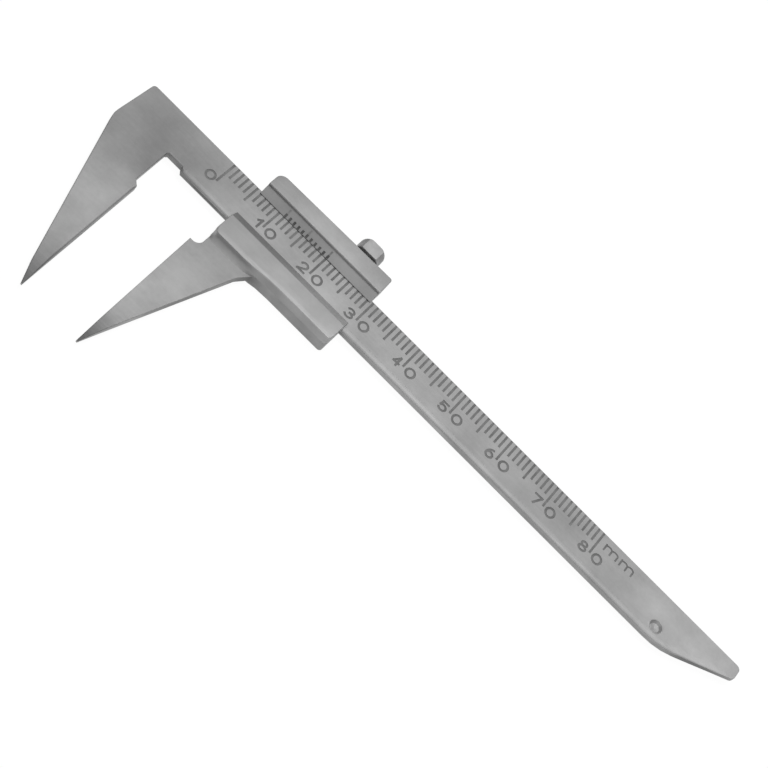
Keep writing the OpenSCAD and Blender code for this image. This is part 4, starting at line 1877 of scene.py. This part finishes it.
def steel_finishes(gauge: Gauge) -> dict[str, bpy.types.Material]:
    """Materials of the caliper by what they are on.

    Args:
        gauge: Gives the place of the jaws' points, which carry painted shade.

    Returns:
        One material for each kind of surface.
    """
    fixed_tip = (gauge.fixed_face_x + gauge.lean_shift(gauge.tip_y), gauge.tip_y, 0.0)
    moving_tip = (gauge.moving_face_x + gauge.lean_shift(gauge.tip_y), gauge.tip_y, 0.0)
    plate_painted_light_and_tone = (
        # Painted shade towards the jaws' ground points
        Shade(fixed_tip, 11.5, 0.36),
        Shade(moving_tip, 10.0, 0.34),
        # Darker round the fixed jaw's root, by the beam's lower edge and by the relief, and paler on the
        # fixed jaw, the moving jaw, the beam and the tail
        Shade((-12.0, -2.0, 1.3), 18.0, 0.74),
        Shade((-1.0, -5.0, 1.3), 8.0, 0.9),
        Shade((-10.0, -18.0, 1.3), 8.0, 1.12),
        Shade((-7.6, -9.0, 1.3), 4.0, 0.8),
        Shade((24.0, -1.0, 1.3), 11.0, 1.15),
        Shade((35.5, -1.5, 1.3), 7.0, 1.13),
        Shade((6.0, -24.0, 1.3), 8.0, 1.14),
        Shade((46.0, -1.0, 1.3), 12.0, 1.1),
        Shade((99.0, 2.0, 1.3), 13.0, 1.22),
        Shade((92.0, 2.0, 1.3), 5.0, 1.1),
        # Painted highlight along the tail's slanted edge
        Shade((101.0, -2.0, 1.3), 6.0, 1.12),
        # Painted shade on the far wall of the pin's dish, and painted light on its near wall
        Shade((95.7, -1.3, 1.1), 0.8, 0.82),
        Shade((94.0, -2.4, 0.85), 0.75, 1.55),
        # Painted light at the tail's end, by its slanted edge
        Shade((108.0, 0.5, 1.3), 8.0, 1.25),
    )
    bar_painted_shade_and_light = (
        # Painted shade towards the rails' jaw end and painted light further along
        Shade((2.0, 7.0, 3.3), 11.0, 0.78),
        Shade((18.0, 6.6, 3.1), 7.0, 1.1),
        Shade((4.0, -7.0, 3.1), 16.0, 0.86),
        Shade((28.0, -6.0, 3.1), 9.0, 1.08),
    )
    wall_painted_shade_and_light = (
        # Painted shade on the lower rail's outer wall past the jaw, and painted light on it beside the jaw
        Shade((17.5, -8.8, 2.2), 6.5, 0.66),
        Shade((26.0, -8.8, 2.2), 8.0, 0.84),
        Shade((9.5, -9.3, 2.6), 4.0, 1.07),
    )
    bevel_painted_shade = (Shade((12.0, 4.2, 2.0), 15.0, 0.86),)
    slope_painted_shade = (Shade((6.0, -3.9, 2.4), 26.0, 0.55),)
    sawn_painted_shade_and_tone = (
        # Painted shade on the beam's lower edge beside the slider, on the relief, on the jaws' sides, at the
        # moving jaw's root and under the slider
        Shade((1.0, -4.2, 0.6), 9.0, 0.42),
        Shade((-5.0, -3.6, 0.6), 3.0, 0.78),
        Shade((-5.0, -25.0, 0.6), 13.0, 0.64),
        Shade((12.0, -20.0, 0.6), 14.0, 0.66),
        Shade((14.6, -9.6, 0.5), 4.5, 0.55),
        Shade((24.0, -8.8, 0.4), 9.0, 0.8),
        # Darker and paler patches along the beam's lower edge
        Shade((34.0, -4.2, 0.6), 6.0, 0.85),
        Shade((46.0, -4.2, 0.6), 9.0, 1.18),
        # Painted shade on the tail's slanted edge
        Shade((104.0, -1.0, 0.6), 9.0, 0.62),
    )
    # Painted shade at both ends of the screw's head
    head_painted_shade = (Shade((22.0, 10.7, 2.7), 1.5, 0.72), Shade((25.9, 10.2, 2.3), 1.5, 0.8))
    # Sawn edges have broad marks across the plate, and turned metal short ones
    sawn_and_shaded = {"rub": Rub.ALONG_Z, "cloud_mm": 6.0, "grain_mm": 1.6, "streak_mm": 1.4, "shades": sawn_painted_shade_and_tone}
    turned = {"rub": Rub.ALONG_Z, "cloud_mm": 2.5, "streak_len_mm": 2.0, "shades": head_painted_shade}
    finishes = {
        # Even satin on the flat plates and the pin, with painted shade towards the jaws' points, painted
        # shade and light in the pin's dish, painted highlights at the tail, and darker and paler patches
        # elsewhere
        "plate": Steel("stainless_satin_ground", "#B2B2B2", "#A2A2A2", 0.64, shades=plate_painted_light_and_tone),
        # Edges painted darker as shade, streaked across the plate's thickness, with more painted shade in
        # patches
        "sawn_and_shaded": Steel("stainless_sawn_edge_painted_shade", "#ACACAC", "#929292", 0.6, **sawn_and_shaded),
        # Satin like the plates', on the rails' walls, with painted shade on the lower rail's outer wall past
        # the jaw and painted light on it beside the jaw
        "wall": Steel("stainless_milled_wall", "#B4B4B4", "#A6A6A6", 0.6, shades=wall_painted_shade_and_light),
        # Satin like the plates', on the rails' faces, with painted shade towards the jaw end and painted
        # light further along
        "bar": Steel("stainless_satin_bar", "#B4B4B4", "#A6A6A6", 0.63, shades=bar_painted_shade_and_light),
        # Ground slopes beside the scale, painted paler than the bar as light, with painted shade towards the
        # jaw end
        "bevel": Steel("stainless_ground_bevel", "#BABABA", "#AEAEAE", 0.62, shades=bevel_painted_shade),
        "slope": Steel("stainless_ground_slope", "#C0C0C0", "#B2B2B2", 0.62, shades=slope_painted_shade),
        # A little glossier, as it comes from the lathe, with painted shade at both ends of the screw's head
        "turned": Steel("stainless_turned", "#B6B6B6", "#A4A4A4", 0.57, **turned),
        # Warm yellow metal, hardly seen
        "brass": Steel("brass_plain_cut", "#C9A45C", "#B08A45", 0.45),
        # Grey paint in the scale, paler where the vernier is worn and darkest at the vernier's feet
        "scale_ink": Ink("scale_paint_black", "#6C6C6C", "#808080"),
        "worn_ink": Ink("vernier_paint_worn", "#7C7C7C", "#969696"),
        "vernier_ink": Ink("vernier_paint_black", "#4C4C4C", "#626262"),
    }
    return {use: finish.material() for use, finish in finishes.items()}


def main() -> None:
    """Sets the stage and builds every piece."""
    logging.basicConfig(level=logging.INFO, format="%(name)s: %(message)s")
    bpy.context.scene.view_settings.view_transform = "Standard"
    studio = Studio()
    studio.camera()
    studio.floor()
    studio.light()
    gauge = Gauge()
    finish = steel_finishes(gauge)
    plate = [finish["plate"], finish["sawn_and_shaded"], finish["scale_ink"]]
    lower_bar = [finish[key] for key in ("bar", "wall", "vernier_ink", "slope")]
    upper_bar = [finish[key] for key in ("bar", "wall", "vernier_ink", "bevel", "worn_ink")]
    beam, slider, clamp = Beam(gauge), Slider(gauge), Clamp(gauge)
    pieces = [
        beam.build_beam(plate),
        beam.build_pin([finish["plate"]]),
        slider.build_back_plate([finish["bar"], finish["sawn_and_shaded"]]),
        slider.build_moving_jaw([finish["plate"], finish["sawn_and_shaded"]]),
        slider.build_lower_rail(lower_bar),
        slider.build_vernier_rail(upper_bar),
        slider.build_rivets([finish["turned"]]),
        clamp.build_screw([finish["turned"]]),
        clamp.build_pad([finish["brass"]]),
    ]
    for piece in pieces:
        piece.mount()


if __name__ == "__main__":
    main()
